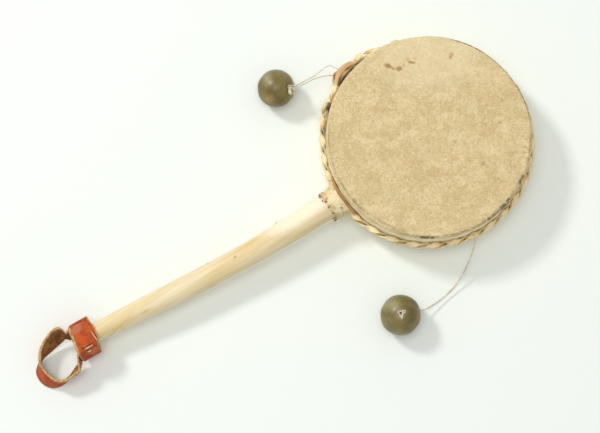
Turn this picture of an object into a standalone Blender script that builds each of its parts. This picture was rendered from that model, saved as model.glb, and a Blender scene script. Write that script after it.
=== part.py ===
"""A small pellet drum, lying on its back head.

A shallow drum with two laced rawhide heads sits on a crooked peeled stick. A leather loop
for the wrist is held to the end of the stick by a leather collar, and two seed pellets
hang on thin twine from the lace.

The origin is the centre of the back head, on the surface the drum lies on. +Z is up, and
the stick points to -X. All sizes are in metres.
"""

from math import asin, ceil, cos, degrees, pi, radians, sin

import bmesh
import bpy
from mathutils import Matrix, Vector

GAP = 0.0003

DRUM_DEPTH = 0.038
HEAD_RADIUS = 0.0655
RAWHIDE = 0.0011
HEAD_EDGE_ROUND = 0.0034
SIDE_FLARE = 0.0008
SEAM_OPENING = 0.0016
HOOP_WALL = 0.006
HOOP_EDGE = 0.0015

LACE_DEPTH = 0.0034
LACE_HEIGHT = 0.0095
LACE_STITCH = 0.0127
LACE_GROOVE = 0.34
KNOT_ANGLE = radians(111)
KNOT_SPREAD = radians(15)
KNOT_STANDOFF = 0.0050

STICK_LENGTH = 0.1965
STICK_INSIDE = 0.016
STICK_DIAMETER = 0.0172
STICK_TIP_DIAMETER = 0.0130
STICK_SWAY = 0.0053
STICK_DROP = 0.0045
WRAP_REACH = 0.0135
WRAP_WALL = 0.0010
WRAP_FLARE = 0.0022

STRAP_WIDTH = 0.0130
STRAP_THICKNESS = 0.0020
STRAP_NARROWING = 0.86
STRAP_RUN_OUT = 0.0009
STRAP_BEVEL = 0.00045
TIP_RECESS = 0.0035
COLLAR_ROLL = radians(14)
COLLAR_CORNER = 0.0032
COLLAR_SET_BACK = 0.0004
COLLAR_WIDTH = 0.0145
COLLAR_SKEW = 0.12
LOOP_REACH = 0.0284
LOOP_HALF_WIDTH = 0.01415
LOOP_DROP = 0.0080
STITCH_THREAD = 0.0010
LONG_STITCH = 0.0064
SHORT_STITCH = 0.0022

PELLET_1_RADIUS = 0.0124
PELLET_2_RADIUS = 0.0132
PELLET_FLAT = 0.0002
PELLET_1_PLACE = (-0.0670, 0.0826)
PELLET_2_PLACE = (-0.0726, -0.0888)
BORE_1_RADIUS = 0.0015
BORE_2_RADIUS = 0.0011
TWINE_1 = 0.0007
TWINE_2 = 0.0010
KNOT_1_RADIUS = 0.0019
KNOT_1_STRAND = 0.0011
KNOT_2_SIZE = (0.0034, 0.0028, 0.0016)

ROUND_STEPS = 44
WRAP_STEPS = 24
EDGE_STEPS = 4
STITCH_RINGS = 4
LACE_SIDES = 8
STICK_STEPS = 22
STICK_SIDES_RESOLUTION = 4
LOOP_STEPS = 28
LOOP_TURN_EASING = 4
SEED_STEPS = (20, 12)
SPACING_IN_DIAMETERS = 3.0

SIDE_RADIUS = HEAD_RADIUS + SIDE_FLARE
MIDDLE = DRUM_DEPTH / 2
STICK_START = -HEAD_RADIUS
STICK_END = STICK_START - STICK_LENGTH
COLLAR_END = STICK_END - TIP_RECESS

# Stations of the crooked stick: how far along it, then its sideways place as a share of the
# sway, its fall as a share of the drop, and its thickness between the tip's and the drum's.
STICK_COURSE = (
    (0.00, -0.80, 0.00, 1.00),
    (0.08, -0.80, 0.00, 1.00),
    (0.20, -0.90, 0.06, 0.93),
    (0.34, -1.00, 0.20, 0.74),
    (0.50, -0.85, 0.42, 0.62),
    (0.66, -0.55, 0.66, 0.56),
    (0.80, -0.18, 0.88, 0.28),
    (0.92, 0.08, 1.00, 0.00),
    (1.00, 0.10, 1.00, 0.00),
)

# Stations of the wrist loop: reach beyond the collar and place across it as shares of the
# loop's own size, fall as a share of its drop, and how far its upper edge leans outward.
LOOP_COURSE = (
    (0.112, 0.710, 0.18, 26),
    (0.231, 0.758, 0.38, 36),
    (0.379, 0.721, 0.54, 37),
    (0.535, 0.615, 0.62, 29),
    (0.683, 0.463, 0.69, 16),
    (0.801, 0.296, 0.75, 1),
    (0.900, 0.080, 0.86, -11),
    (0.972, -0.183, 0.96, -27),
    (0.970, -0.560, 1.00, -32),
    (0.880, -0.881, 0.99, -27),
    (0.757, -1.059, 0.91, -13),
    (0.610, -1.142, 0.84, 2),
    (0.461, -1.123, 0.76, 11),
    (0.274, -1.028, 0.60, 14),
    (0.172, -0.885, 0.34, 8),
)

# Routes of the twine, from the lace to the pellets.
STRING_1_UPPER_ROUTE = (
    (-0.0262, 0.0720, 0.0200), (-0.0300, 0.0768, 0.0197), (-0.0368, 0.0766, 0.0185),
    (-0.0413, 0.0760, 0.0179), (-0.0453, 0.0761, 0.0178), (-0.0500, 0.0762, 0.0182),
    (-0.0546, 0.0760, 0.0196), (-0.0575, 0.0766, 0.0216), (-0.0592, 0.0777, 0.0223),
    (-0.0600, 0.0783, 0.0213), (-0.0615, 0.0794, 0.0192),
)
STRING_1_LOWER_ROUTE = (
    (-0.0318, 0.0706, 0.0180), (-0.0350, 0.0722, 0.0178), (-0.0384, 0.0735, 0.0172),
    (-0.0415, 0.0743, 0.0169), (-0.0453, 0.0747, 0.0168), (-0.0500, 0.0748, 0.0173),
    (-0.0546, 0.0746, 0.0188), (-0.0578, 0.0752, 0.0212), (-0.0597, 0.0767, 0.0222),
    (-0.0606, 0.0773, 0.0213), (-0.0621, 0.0785, 0.0192),
)
STRING_2_ROUTE = (
    (-0.0062, -0.0712, 0.0190), (-0.0080, -0.0736, 0.0182), (-0.0110, -0.0768, 0.0160),
    (-0.0150, -0.0803, 0.0128), (-0.0196, -0.0836, 0.0096), (-0.0247, -0.0868, 0.0067),
    (-0.0310, -0.0898, 0.0044), (-0.0380, -0.0918, 0.0034), (-0.0450, -0.0930, 0.0036),
    (-0.0520, -0.0934, 0.0050), (-0.0580, -0.0931, 0.0070), (-0.0640, -0.0915, 0.0094),
)
KNOT_1_PLACE = (-0.0563, 0.0756, 0.0203)
KNOT_1_WAY = (-0.81, 0.16, 0.57)


def clear_scene():
    for thing in list(bpy.data.objects):
        bpy.data.objects.remove(thing, do_unlink=True)


def new_collection(name):
    collection = bpy.data.collections.new(name)
    bpy.context.scene.collection.children.link(collection)
    return collection


def material(name, colour, roughness):
    finish = bpy.data.materials.new(name)
    finish.use_nodes = True
    shader = finish.node_tree.nodes["Principled BSDF"]
    shader.inputs["Base Color"].default_value = (*colour, 1.0)
    shader.inputs["Roughness"].default_value = roughness
    shader.inputs["Metallic"].default_value = 0.0
    return finish


def place(name, data, finish, collection):
    thing = bpy.data.objects.new(name, data)
    collection.objects.link(thing)
    if finish:
        data.materials.append(finish)
    return thing


def outline_mesh(name, points, closed):
    count = len(points)
    edges = [(i, i + 1) for i in range(count - 1)]
    if closed:
        edges.append((count - 1, 0))
    mesh = bpy.data.meshes.new(name)
    mesh.from_pydata([(x, 0.0, z) for x, z in points], edges, [])
    return mesh


def add_screw(thing, steps):
    turn = thing.modifiers.new("turned round", "SCREW")
    turn.axis = "Z"
    turn.steps = steps
    turn.render_steps = steps
    turn.use_merge_vertices = True
    turn.merge_threshold = 0.00001
    turn.use_smooth_shade = True


def add_cut(thing, cutter):
    cut = thing.modifiers.new("cut by " + cutter.name, "BOOLEAN")
    cut.operation = "DIFFERENCE"
    cut.solver = "EXACT"
    cut.object = cutter


def arc(centre, radius, start, end, steps):
    angles = [radians(start + (end - start) * i / steps) for i in range(steps + 1)]
    return [(centre[0] + radius * cos(a), centre[1] + radius * sin(a)) for a in angles]


def smooth_through(points, share):
    """The place at a share from 0 to 1 on a smooth curve through evenly counted points."""
    spans = len(points) - 1
    at = min(max(share, 0.0), 1.0) * spans
    i = min(int(at), spans - 1)
    t = at - i
    p0 = points[max(i - 1, 0)]
    p1 = points[i]
    p2 = points[i + 1]
    p3 = points[min(i + 2, spans)]
    found = []
    for a, b, c, d in zip(p0, p1, p2, p3):
        found.append(0.5 * (2 * b + (c - a) * t + (2 * a - 5 * b + 4 * c - d) * t * t
                            + (3 * b - a - 3 * c + d) * t ** 3))
    return found


def even_points(points, spacing):
    """Points a fixed spacing apart along the smooth curve through the route's own points."""
    fine = [Vector(smooth_through(points, i / 400)) for i in range(401)]
    length = sum((b - a).length for a, b in zip(fine, fine[1:]))
    count = ceil(length / spacing)
    chosen = [fine[0]]
    walked = 0.0
    for a, b in zip(fine, fine[1:]):
        walked += (b - a).length
        if walked >= len(chosen) * length / count and len(chosen) < count:
            chosen.append(b)
    chosen.append(fine[-1])
    return chosen


def poly_tube(name, path, radius, finish, collection, resolution=2, shares=None):
    """A tube along a path: shares gives its thickness at each point, as a share of radius."""
    curve = bpy.data.curves.new(name, "CURVE")
    curve.dimensions = "3D"
    curve.bevel_depth = radius
    curve.bevel_resolution = resolution
    curve.use_fill_caps = True
    spline = curve.splines.new("POLY")
    spline.points.add(len(path) - 1)
    for i, point in enumerate(path):
        spline.points[i].co = (*point, 1.0)
        spline.points[i].radius = shares[i] if shares else 1.0
    return place(name, curve, finish, collection)


def loft(name, rings, finish, collection):
    """A closed skin over rings of equal count, flat at both ends."""
    count = len(rings[0])
    mesh = bmesh.new()
    rows = [[mesh.verts.new(point) for point in ring] for ring in rings]
    for row, after in zip(rows, rows[1:]):
        for i in range(count):
            j = (i + 1) % count
            mesh.faces.new((row[i], row[j], after[j], after[i]))
    mesh.faces.new(list(reversed(rows[0])))
    mesh.faces.new(rows[-1])
    bmesh.ops.recalc_face_normals(mesh, faces=mesh.faces)
    data = bpy.data.meshes.new(name)
    mesh.to_mesh(data)
    mesh.free()
    data.shade_smooth()
    data.set_sharp_from_angle(angle=radians(40))
    return place(name, data, finish, collection)


def stick_point(share):
    """Centre of the stick at a share of its length from the drum's side."""
    stations = [row[0] for row in STICK_COURSE]
    low = max(i for i, station in enumerate(stations[:-1]) if station <= share + 1e-9)
    part = (share - stations[low]) / (stations[low + 1] - stations[low])
    at = (low + part) / (len(STICK_COURSE) - 1)
    _, sway, fall, thick = smooth_through(STICK_COURSE, at)
    centre = Vector((STICK_START - STICK_LENGTH * share,
                     STICK_SWAY * sway,
                     MIDDLE - STICK_DROP * fall))
    diameter = STICK_TIP_DIAMETER + (STICK_DIAMETER - STICK_TIP_DIAMETER) * thick
    return centre, diameter


def stick_cutter(cutters):
    """The room the stick needs through the hoop and the turned-down edges of the heads."""
    mesh = bmesh.new()
    length = 2 * STICK_INSIDE
    bmesh.ops.create_cone(mesh, cap_ends=True, segments=32,
                          radius1=STICK_DIAMETER / 2 + GAP,
                          radius2=STICK_DIAMETER / 2 + GAP, depth=length)
    data = bpy.data.meshes.new("stick_room")
    mesh.to_mesh(data)
    mesh.free()
    cutter = place("stick_room", data, None, cutters)
    centre, _ = stick_point(0.0)
    cutter.location = centre
    cutter.rotation_euler = (0.0, pi / 2, 0.0)
    return cutter


def drum_cutter(cutters):
    """The drum's side as a full round, for what seats against it."""
    mesh = bmesh.new()
    bmesh.ops.create_cone(mesh, cap_ends=True, segments=2 * ROUND_STEPS,
                          radius1=SIDE_RADIUS + GAP, radius2=SIDE_RADIUS + GAP,
                          depth=2 * DRUM_DEPTH)
    data = bpy.data.meshes.new("drum_room")
    mesh.to_mesh(data)
    mesh.free()
    cutter = place("drum_room", data, None, cutters)
    cutter.location = (0.0, 0.0, MIDDLE)
    return cutter


def floor_cutter(cutters):
    """Everything below the surface, which leaves the pellets a small flat spot."""
    mesh = bmesh.new()
    bmesh.ops.create_cube(mesh, size=1.0)
    data = bpy.data.meshes.new("below_surface")
    mesh.to_mesh(data)
    mesh.free()
    cutter = place("below_surface", data, None, cutters)
    cutter.location = (0.0, 0.0, -0.5)
    return cutter


def frame_hoop(finish, collection, stick_room):
    outer = HEAD_RADIUS - RAWHIDE - GAP
    inner = outer - HOOP_WALL
    top = DRUM_DEPTH - RAWHIDE - GAP
    bottom = RAWHIDE + GAP
    round_off = HEAD_EDGE_ROUND - RAWHIDE
    points = [(inner + HOOP_EDGE, top)]
    points += arc((outer - round_off, top - round_off), round_off, 90, 0, EDGE_STEPS // 2)
    points += arc((outer - round_off, bottom + round_off), round_off, 0, -90, EDGE_STEPS // 2)
    points += [(inner + HOOP_EDGE, bottom), (inner, bottom + HOOP_EDGE)]
    points += [(inner, top - HOOP_EDGE)]
    hoop = place("frame_hoop", outline_mesh("frame_hoop", points, True), finish, collection)
    add_screw(hoop, ROUND_STEPS)
    add_cut(hoop, stick_room)


def head(name, finish, collection, stick_room, front):
    """A stretched head: flat, rounded over the hoop's edge and turned down to the seam."""
    centre = (HEAD_RADIUS - HEAD_EDGE_ROUND, DRUM_DEPTH - HEAD_EDGE_ROUND)
    hem = MIDDLE + SEAM_OPENING / 2
    points = [(0.0, DRUM_DEPTH)]
    points += arc(centre, HEAD_EDGE_ROUND, 90, 0, EDGE_STEPS)
    points += [(HEAD_RADIUS + SIDE_FLARE * 0.6, hem + (centre[1] - hem) * 0.45)]
    points += [(SIDE_RADIUS, hem)]
    if not front:
        points = [(x, DRUM_DEPTH - z) for x, z in reversed(points)]
    skin = place(name, outline_mesh(name, points, False), finish, collection)
    add_screw(skin, ROUND_STEPS)
    wall = skin.modifiers.new("thickness", "SOLIDIFY")
    wall.thickness = RAWHIDE
    wall.offset = -1.0
    add_cut(skin, stick_room)


def edge_lace(finish, collection):
    """Two thong strands that cross round the seam, bowed out where the first string is tied."""
    wrap_centre, wrap_diameter = stick_point(0.0)
    room = wrap_diameter / 2 + GAP + WRAP_WALL + WRAP_FLARE + GAP
    start = pi + asin((room - wrap_centre.y) / SIDE_RADIUS)
    end = 3 * pi - asin((room + wrap_centre.y) / SIDE_RADIUS)
    stitches = round((end - start) * SIDE_RADIUS / LACE_STITCH)
    total = stitches * STITCH_RINGS
    rings = []
    for i in range(total + 1):
        along = start + (end - start) * i / total
        twist = pi * i / STITCH_RINGS
        away = (along % (2 * pi) - KNOT_ANGLE) / KNOT_SPREAD
        bow = KNOT_STANDOFF * (0.5 + 0.5 * cos(pi * away)) if abs(away) < 1 else 0.0
        middle = SIDE_RADIUS + GAP + LACE_DEPTH / 2 + bow
        ring = []
        for k in range(LACE_SIDES):
            turn = 2 * pi * k / LACE_SIDES
            share = 1 - LACE_GROOVE * (0.5 - 0.5 * cos(2 * (turn - twist)))
            out = middle + LACE_DEPTH / 2 * share * cos(turn)
            up = MIDDLE + LACE_HEIGHT / 2 * share * sin(turn)
            ring.append((out * cos(along), out * sin(along), up))
        rings.append(ring)
    loft("edge_lace", rings, finish, collection)


def neck_wrap(finish, collection, drum_room):
    """A sleeve round the stick, spread where it meets the drum's side."""
    centre, diameter = stick_point(0.0)
    bore = diameter / 2 + GAP
    sleeve = bore + WRAP_WALL
    far = SIDE_RADIUS + WRAP_REACH
    near = SIDE_RADIUS - WRAP_REACH * 0.5
    points = [(sleeve - WRAP_WALL * 0.35, far), (sleeve, far - WRAP_WALL * 0.5)]
    for i in range(1, 6):
        share = i / 5
        points.append((sleeve + WRAP_FLARE * share ** 2, far - WRAP_REACH * share))
    points += [(sleeve + WRAP_FLARE * 1.4, near), (bore, near), (bore, far)]
    wrap = place("neck_wrap", outline_mesh("neck_wrap", points, True), finish, collection)
    wrap.location = (0.0, centre.y, centre.z)
    wrap.rotation_euler = (0.0, -pi / 2, 0.0)
    add_screw(wrap, WRAP_STEPS)
    add_cut(wrap, drum_room)


def handle(finish, collection):
    """The crooked stick, with its inner end just inside the hoop."""
    start, diameter = stick_point(0.0)
    path = [start + Vector((STICK_INSIDE, 0.0, 0.0))]
    shares = [1.0]
    for i in range(STICK_STEPS + 1):
        centre, thick = stick_point(i / STICK_STEPS)
        path.append(centre)
        shares.append(thick / diameter)
    poly_tube("handle", path, diameter / 2, finish, collection,
              STICK_SIDES_RESOLUTION, shares)


def rolled(sideways, upward):
    """A direction in the collar's own cross-section, turned by its roll round the stick."""
    across = Vector((0.0, cos(COLLAR_ROLL), -sin(COLLAR_ROLL)))
    up = Vector((0.0, sin(COLLAR_ROLL), cos(COLLAR_ROLL)))
    return across * sideways + up * upward


def collar_point(along, sideways, upward):
    """A place on the collar, whose side toward +Y sits nearer the drum."""
    tip, _ = stick_point(1.0)
    offset = rolled(sideways, upward)
    centre = COLLAR_END + COLLAR_SET_BACK + COLLAR_WIDTH / 2
    return Vector((centre + along + COLLAR_SKEW * offset.y, tip.y + offset.y, tip.z + offset.z))


def collar_sizes():
    inner_across = STICK_TIP_DIAMETER / 2 + GAP + STRAP_THICKNESS + GAP
    inner_up = STICK_TIP_DIAMETER / 2 + GAP
    return inner_across, inner_up


def rounded_rectangle(half_x, half_y, corner, steps):
    points = []
    for centre_x, centre_y, start in ((1, 1, 0), (-1, 1, 90), (-1, -1, 180), (1, -1, 270)):
        middle = (centre_x * (half_x - corner), centre_y * (half_y - corner))
        points += arc(middle, corner, start, start + 90, steps)
    return points


def strap_collar(finish, collection):
    """A leather band round the stick and the two strap ends."""
    across, up = collar_sizes()
    inner = rounded_rectangle(across, up, COLLAR_CORNER - STRAP_THICKNESS * 0.6, 4)
    outer = rounded_rectangle(across + STRAP_THICKNESS, up + STRAP_THICKNESS,
                              COLLAR_CORNER, 4)
    half = COLLAR_WIDTH / 2
    mesh = bmesh.new()
    rows = []
    for outline, along in ((outer, -half), (outer, half), (inner, half), (inner, -half)):
        rows.append([mesh.verts.new(collar_point(along, x, y)) for x, y in outline])
    count = len(outer)
    for row, after in zip(rows, rows[1:] + rows[:1]):
        for i in range(count):
            j = (i + 1) % count
            mesh.faces.new((row[i], row[j], after[j], after[i]))
    bmesh.ops.recalc_face_normals(mesh, faces=mesh.faces)
    data = bpy.data.meshes.new("strap_collar")
    mesh.to_mesh(data)
    mesh.free()
    data.shade_smooth()
    data.set_sharp_from_angle(angle=radians(40))
    place("strap_collar", data, finish, collection)


def strap_section(middle, width_way, face_way, width):
    """A strap's cross-section: flat faces with narrow bevelled edges."""
    half_thick = STRAP_THICKNESS / 2
    half_wide = width / 2
    flat = half_thick - STRAP_BEVEL
    tall = half_wide - STRAP_BEVEL
    corners = ((half_thick, tall), (flat, half_wide), (-flat, half_wide), (-half_thick, tall),
               (-half_thick, -tall), (-flat, -half_wide), (flat, -half_wide),
               (half_thick, -tall))
    return [middle + face_way * out + width_way * rise for out, rise in corners]


def wrist_loop(finish, collection):
    """The strap from one side of the stick's end round to the other, twisting as it goes."""
    tip, _ = stick_point(1.0)
    aside = STICK_TIP_DIAMETER / 2 + GAP + STRAP_THICKNESS / 2
    roll = degrees(COLLAR_ROLL)
    held = Vector((STRAP_WIDTH * 0.8, 0.0, 0.0))
    exits = []
    for side in (1, -1):
        at = Vector((COLLAR_END - STRAP_RUN_OUT, tip.y, tip.z)) + rolled(side * aside, 0.0)
        exits.append((at.x, at.y, at.z, side * roll, STRAP_NARROWING))
    loop = [(COLLAR_END - LOOP_REACH * reach, tip.y + LOOP_HALF_WIDTH * across,
             tip.z - LOOP_DROP * drop, lean, 1.0) for reach, across, drop, lean in LOOP_COURSE]
    stations = [exits[0]] + loop + [exits[1]]
    samples = [smooth_through(stations, i / LOOP_STEPS) for i in range(LOOP_STEPS + 1)]
    ways = [Vector((-1.0, 0.0, 0.0))]
    for before, after in zip(samples, samples[2:]):
        ways.append((Vector(after[:3]) - Vector(before[:3])).normalized())
    ways.append(Vector((1.0, 0.0, 0.0)))
    for _ in range(LOOP_TURN_EASING):
        eased = [(a + b * 2 + c).normalized() for a, b, c in zip(ways, ways[1:], ways[2:])]
        ways = [ways[0]] + eased + [ways[-1]]
    rings = []
    for (x, y, z, lean, width), way in zip(samples, ways):
        outward = way.cross(Vector((0.0, 0.0, 1.0))).normalized()
        upward = outward.cross(way).normalized()
        tilt = radians(lean)
        width_way = upward * cos(tilt) + outward * sin(tilt)
        face_way = outward * cos(tilt) - upward * sin(tilt)
        rings.append(strap_section(Vector((x, y, z)), width_way, face_way,
                                   STRAP_WIDTH * width))
    start = [point + held for point in rings[0]]
    finish_ring = [point + held for point in rings[-1]]
    loft("wrist_loop", [start] + rings + [finish_ring], finish, collection)


def collar_stitches(finish, collection):
    """Two stitches of thread, along the collar's near corner and on its side."""
    across, up = collar_sizes()
    corner_across = across + STRAP_THICKNESS - COLLAR_CORNER
    corner_up = up + STRAP_THICKNESS - COLLAR_CORNER
    proud = COLLAR_CORNER + GAP + STITCH_THREAD / 2
    aside, turn = COLLAR_WIDTH * 0.08, radians(28)
    on_corner = collar_point(aside, -corner_across - proud * sin(turn),
                             corner_up + proud * cos(turn))
    turn = radians(68)
    on_side = collar_point(aside * 0.6, -corner_across - proud * sin(turn),
                           corner_up + proud * cos(turn))
    for number, (centre, length) in enumerate(((on_corner, LONG_STITCH),
                                               (on_side, SHORT_STITCH)), start=1):
        half = Vector((length / 2, 0.0, 0.0))
        path = [centre - half, centre - half * 0.6, centre + half * 0.6, centre + half]
        poly_tube("collar_stitch_%d" % number, path, STITCH_THREAD / 2, finish,
                  collection, 2, (0.6, 1.0, 1.0, 0.6))


def bore_cutter(name, centre, direction, start, length, radius, cutters):
    mesh = bmesh.new()
    bmesh.ops.create_cone(mesh, cap_ends=True, segments=12, radius1=radius,
                          radius2=radius, depth=length)
    data = bpy.data.meshes.new(name)
    mesh.to_mesh(data)
    mesh.free()
    cutter = place(name, data, None, cutters)
    way = Vector(direction).normalized()
    cutter.matrix_world = (Matrix.Translation(centre + way * (start + length / 2))
                           @ way.to_track_quat("Z", "Y").to_matrix().to_4x4())
    return cutter


def pellet(name, radius, spot, finish, collection, cuts):
    """A round seed, a little ribbed and lopsided, cut by its bores and its flat spot."""
    mesh = bmesh.new()
    bmesh.ops.create_uvsphere(mesh, u_segments=SEED_STEPS[0], v_segments=SEED_STEPS[1],
                              radius=radius)
    for vertex in mesh.verts:
        way = vertex.co.normalized()
        rib = 0.008 * cos(6 * (way.x + way.y)) * (1 - way.z ** 2)
        lop = 0.020 * way.x * way.y - 0.012 * way.y * way.z
        vertex.co = vertex.co * (1 + rib + lop)
    data = bpy.data.meshes.new(name)
    mesh.to_mesh(data)
    mesh.free()
    data.shade_smooth()
    data.set_sharp_from_angle(angle=radians(40))
    seed = place(name, data, finish, collection)
    seed.location = spot
    for cutter in cuts:
        add_cut(seed, cutter)


def pellets(finish, collection, cutters, below):
    """Both seeds on the surface, each bored for its string."""
    first = Vector((*PELLET_1_PLACE, PELLET_1_RADIUS - PELLET_FLAT))
    toward = Vector((0.55, -0.39, 0.74))
    through = bore_cutter("bore_1", first, toward, -2 * PELLET_1_RADIUS,
                          4 * PELLET_1_RADIUS, BORE_1_RADIUS, cutters)
    pellet("pellet_1", PELLET_1_RADIUS, first, finish, collection, (through, below))
    second = Vector((*PELLET_2_PLACE, PELLET_2_RADIUS - PELLET_FLAT))
    side = Vector((0.88, -0.27, -0.38))
    reach = 2 * PELLET_2_RADIUS
    side_bore = bore_cutter("bore_2_side", second, side, -BORE_2_RADIUS, reach,
                            BORE_2_RADIUS, cutters)
    top_bore = bore_cutter("bore_2_top", second, (-0.04, 0.0, 1.0), -BORE_2_RADIUS, reach,
                           BORE_2_RADIUS, cutters)
    pellet("pellet_2", PELLET_2_RADIUS, second, finish, collection,
           (side_bore, top_bore, below))


def twine(finish, collection):
    """The three strands, each a smooth curve through its route."""
    for name, route, thick in (("string_1_upper", STRING_1_UPPER_ROUTE, TWINE_1),
                               ("string_1_lower", STRING_1_LOWER_ROUTE, TWINE_1),
                               ("string_2", STRING_2_ROUTE, TWINE_2)):
        path = even_points(route, SPACING_IN_DIAMETERS * thick)
        poly_tube(name, path, thick / 2, finish, collection)


def knots(finish, collection):
    """A turn of twine round the doubled string, and a tied lump on the second pellet."""
    circle = [(KNOT_1_RADIUS + x, z) for x, z in
              arc((0.0, 0.0), KNOT_1_STRAND / 2, 90, -270, 6)[:-1]]
    ring = place("knot_1", outline_mesh("knot_1", circle, True), finish, collection)
    add_screw(ring, WRAP_STEPS // 2)
    ring.location = KNOT_1_PLACE
    ring.rotation_euler = Vector(KNOT_1_WAY).to_track_quat("Z", "Y").to_euler()
    mesh = bmesh.new()
    bmesh.ops.create_uvsphere(mesh, u_segments=10, v_segments=7, radius=0.5)
    bmesh.ops.scale(mesh, vec=KNOT_2_SIZE, verts=mesh.verts)
    data = bpy.data.meshes.new("knot_2")
    mesh.to_mesh(data)
    mesh.free()
    data.shade_smooth()
    lump = place("knot_2", data, finish, collection)
    rise = 2 * PELLET_2_RADIUS - PELLET_FLAT + GAP + KNOT_2_SIZE[2] / 2
    lump.location = (PELLET_2_PLACE[0], PELLET_2_PLACE[1], rise)
    lump.rotation_euler = (0.0, 0.0, radians(25))


def main():
    clear_scene()
    parts = new_collection("pellet_drum")
    cutters = new_collection("cutters")
    rawhide = material("rawhide", (0.72, 0.59, 0.33), 0.6)
    thong = material("rawhide thong", (0.68, 0.49, 0.24), 0.65)
    peeled_wood = material("peeled wood", (0.82, 0.66, 0.38), 0.55)
    hoop_wood = material("hoop wood", (0.55, 0.38, 0.20), 0.7)
    orange_leather = material("orange leather", (0.56, 0.11, 0.05), 0.5)
    seed = material("seed", (0.20, 0.16, 0.05), 0.45)
    cotton = material("cotton twine", (0.70, 0.66, 0.52), 0.9)

    stick_room = stick_cutter(cutters)
    drum_room = drum_cutter(cutters)
    below = floor_cutter(cutters)
    frame_hoop(hoop_wood, parts, stick_room)
    head("front_head", rawhide, parts, stick_room, True)
    head("back_head", rawhide, parts, stick_room, False)
    edge_lace(thong, parts)
    neck_wrap(rawhide, parts, drum_room)
    handle(peeled_wood, parts)
    strap_collar(orange_leather, parts)
    wrist_loop(orange_leather, parts)
    collar_stitches(cotton, parts)
    pellets(seed, parts, cutters, below)
    twine(cotton, parts)
    knots(cotton, parts)
    for cutter in cutters.objects:
        cutter.hide_render = True
        cutter.display_type = "WIRE"


main()
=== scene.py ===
"""Dresses the pellet drum: hide, lacing, peeled stick, leather strap, seeds and twine."""

from math import cos, degrees, floor, hypot, pi, radians, sin, sqrt

import bmesh
import bpy
from bpy.props import FloatProperty, FloatVectorProperty, IntProperty, PointerProperty
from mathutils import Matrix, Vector, noise


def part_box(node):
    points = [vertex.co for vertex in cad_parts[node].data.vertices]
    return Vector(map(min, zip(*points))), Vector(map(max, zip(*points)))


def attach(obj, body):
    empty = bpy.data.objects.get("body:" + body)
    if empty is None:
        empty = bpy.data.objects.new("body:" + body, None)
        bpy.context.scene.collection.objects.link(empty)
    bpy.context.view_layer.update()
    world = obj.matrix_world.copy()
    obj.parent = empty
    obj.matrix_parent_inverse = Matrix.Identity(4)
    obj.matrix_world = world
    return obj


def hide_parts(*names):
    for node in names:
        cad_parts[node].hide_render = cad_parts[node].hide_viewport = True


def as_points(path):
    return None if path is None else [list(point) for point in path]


bl_info = {
    "name": "Pellet drum",
    "version": (1, 0, 0),
    "blender": (4, 5, 0),
    "location": "View3D > Sidebar > Pellet drum",
    "description": "Builds the looks of a hide pellet drum around its solid parts",
    "category": "Object",
}

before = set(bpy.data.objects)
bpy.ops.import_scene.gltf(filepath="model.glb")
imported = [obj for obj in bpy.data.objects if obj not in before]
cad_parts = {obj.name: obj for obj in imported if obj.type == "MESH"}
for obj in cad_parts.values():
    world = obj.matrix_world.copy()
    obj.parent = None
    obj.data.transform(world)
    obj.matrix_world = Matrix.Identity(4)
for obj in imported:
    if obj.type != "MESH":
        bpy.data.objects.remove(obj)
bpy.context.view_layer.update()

MM = 0.001
UP = Vector((0.0, 0.0, 1.0))
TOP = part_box("front_head")[1].z
MIDDLE = (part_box("back_head")[0].z + TOP) / 2

# The hides: thickness, round of the edge, radius of the side, height of the front's hem.
HIDE = 0.0011
EDGE_ROUND = 0.0021
SIDE = 0.0667
HEM = MIDDLE + 0.0008
FRONT_RISE = 0.0008

# The round hole for the stick, in the hides and in the wrap.
NECK_Y = -0.0042
NECK_BORE = 0.0089

# The lace: radius, the angle where its ends meet, how far round it goes, and its steps.
LACE_RADIUS = 0.0685
LACE_START, LACE_SWEEP, LACE_STEPS = 190.5, 344.0, 1400

# Where each stitch of the lace bites, in degrees round the drum from +X.
STITCHES = (
    -58.5, -47.6, -36.7, -25.8, -14.9, -4.0, 6.9, 17.8, 28.7, 39.6, 50.5, 61.4, 72.3, 83.0,
    93.4, 103.5, 114.5, 125.0, 134.0, 144.5, 155.0, 165.2, 173.6, 180.0, 191.0, 202.5, 214.5,
    226.5, 238.0, 249.0, 260.0, 271.0, 281.5, 291.0,
)

# How far the lace stands off round its knot: degrees and distance.
LACE_BOW = (
    (62, 0.0), (80, 0.0010), (90, 0.0024), (98, 0.0038), (107, 0.0047), (113.5, 0.0062),
    (115.5, 0.0052), (118, 0.0024), (121, 0.0021), (130, 0.0026), (138, 0.0017), (152, 0.0),
)

# Centre line of the stick: x, y, z and diameter.
STICK = (
    (-0.0495, -0.0042, 0.0190, 0.0172), (-0.0655, -0.0042, 0.0190, 0.0172),
    (-0.0812, -0.0042, 0.0190, 0.0172), (-0.1048, -0.0048, 0.0187, 0.0169),
    (-0.1323, -0.0053, 0.0181, 0.0161), (-0.1638, -0.0045, 0.0171, 0.0156),
    (-0.1952, -0.0029, 0.0160, 0.0154), (-0.2227, -0.0010, 0.0150, 0.0142),
    (-0.2463, 0.0004, 0.0145, 0.0130), (-0.2620, 0.0005, 0.0145, 0.0130),
)

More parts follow.
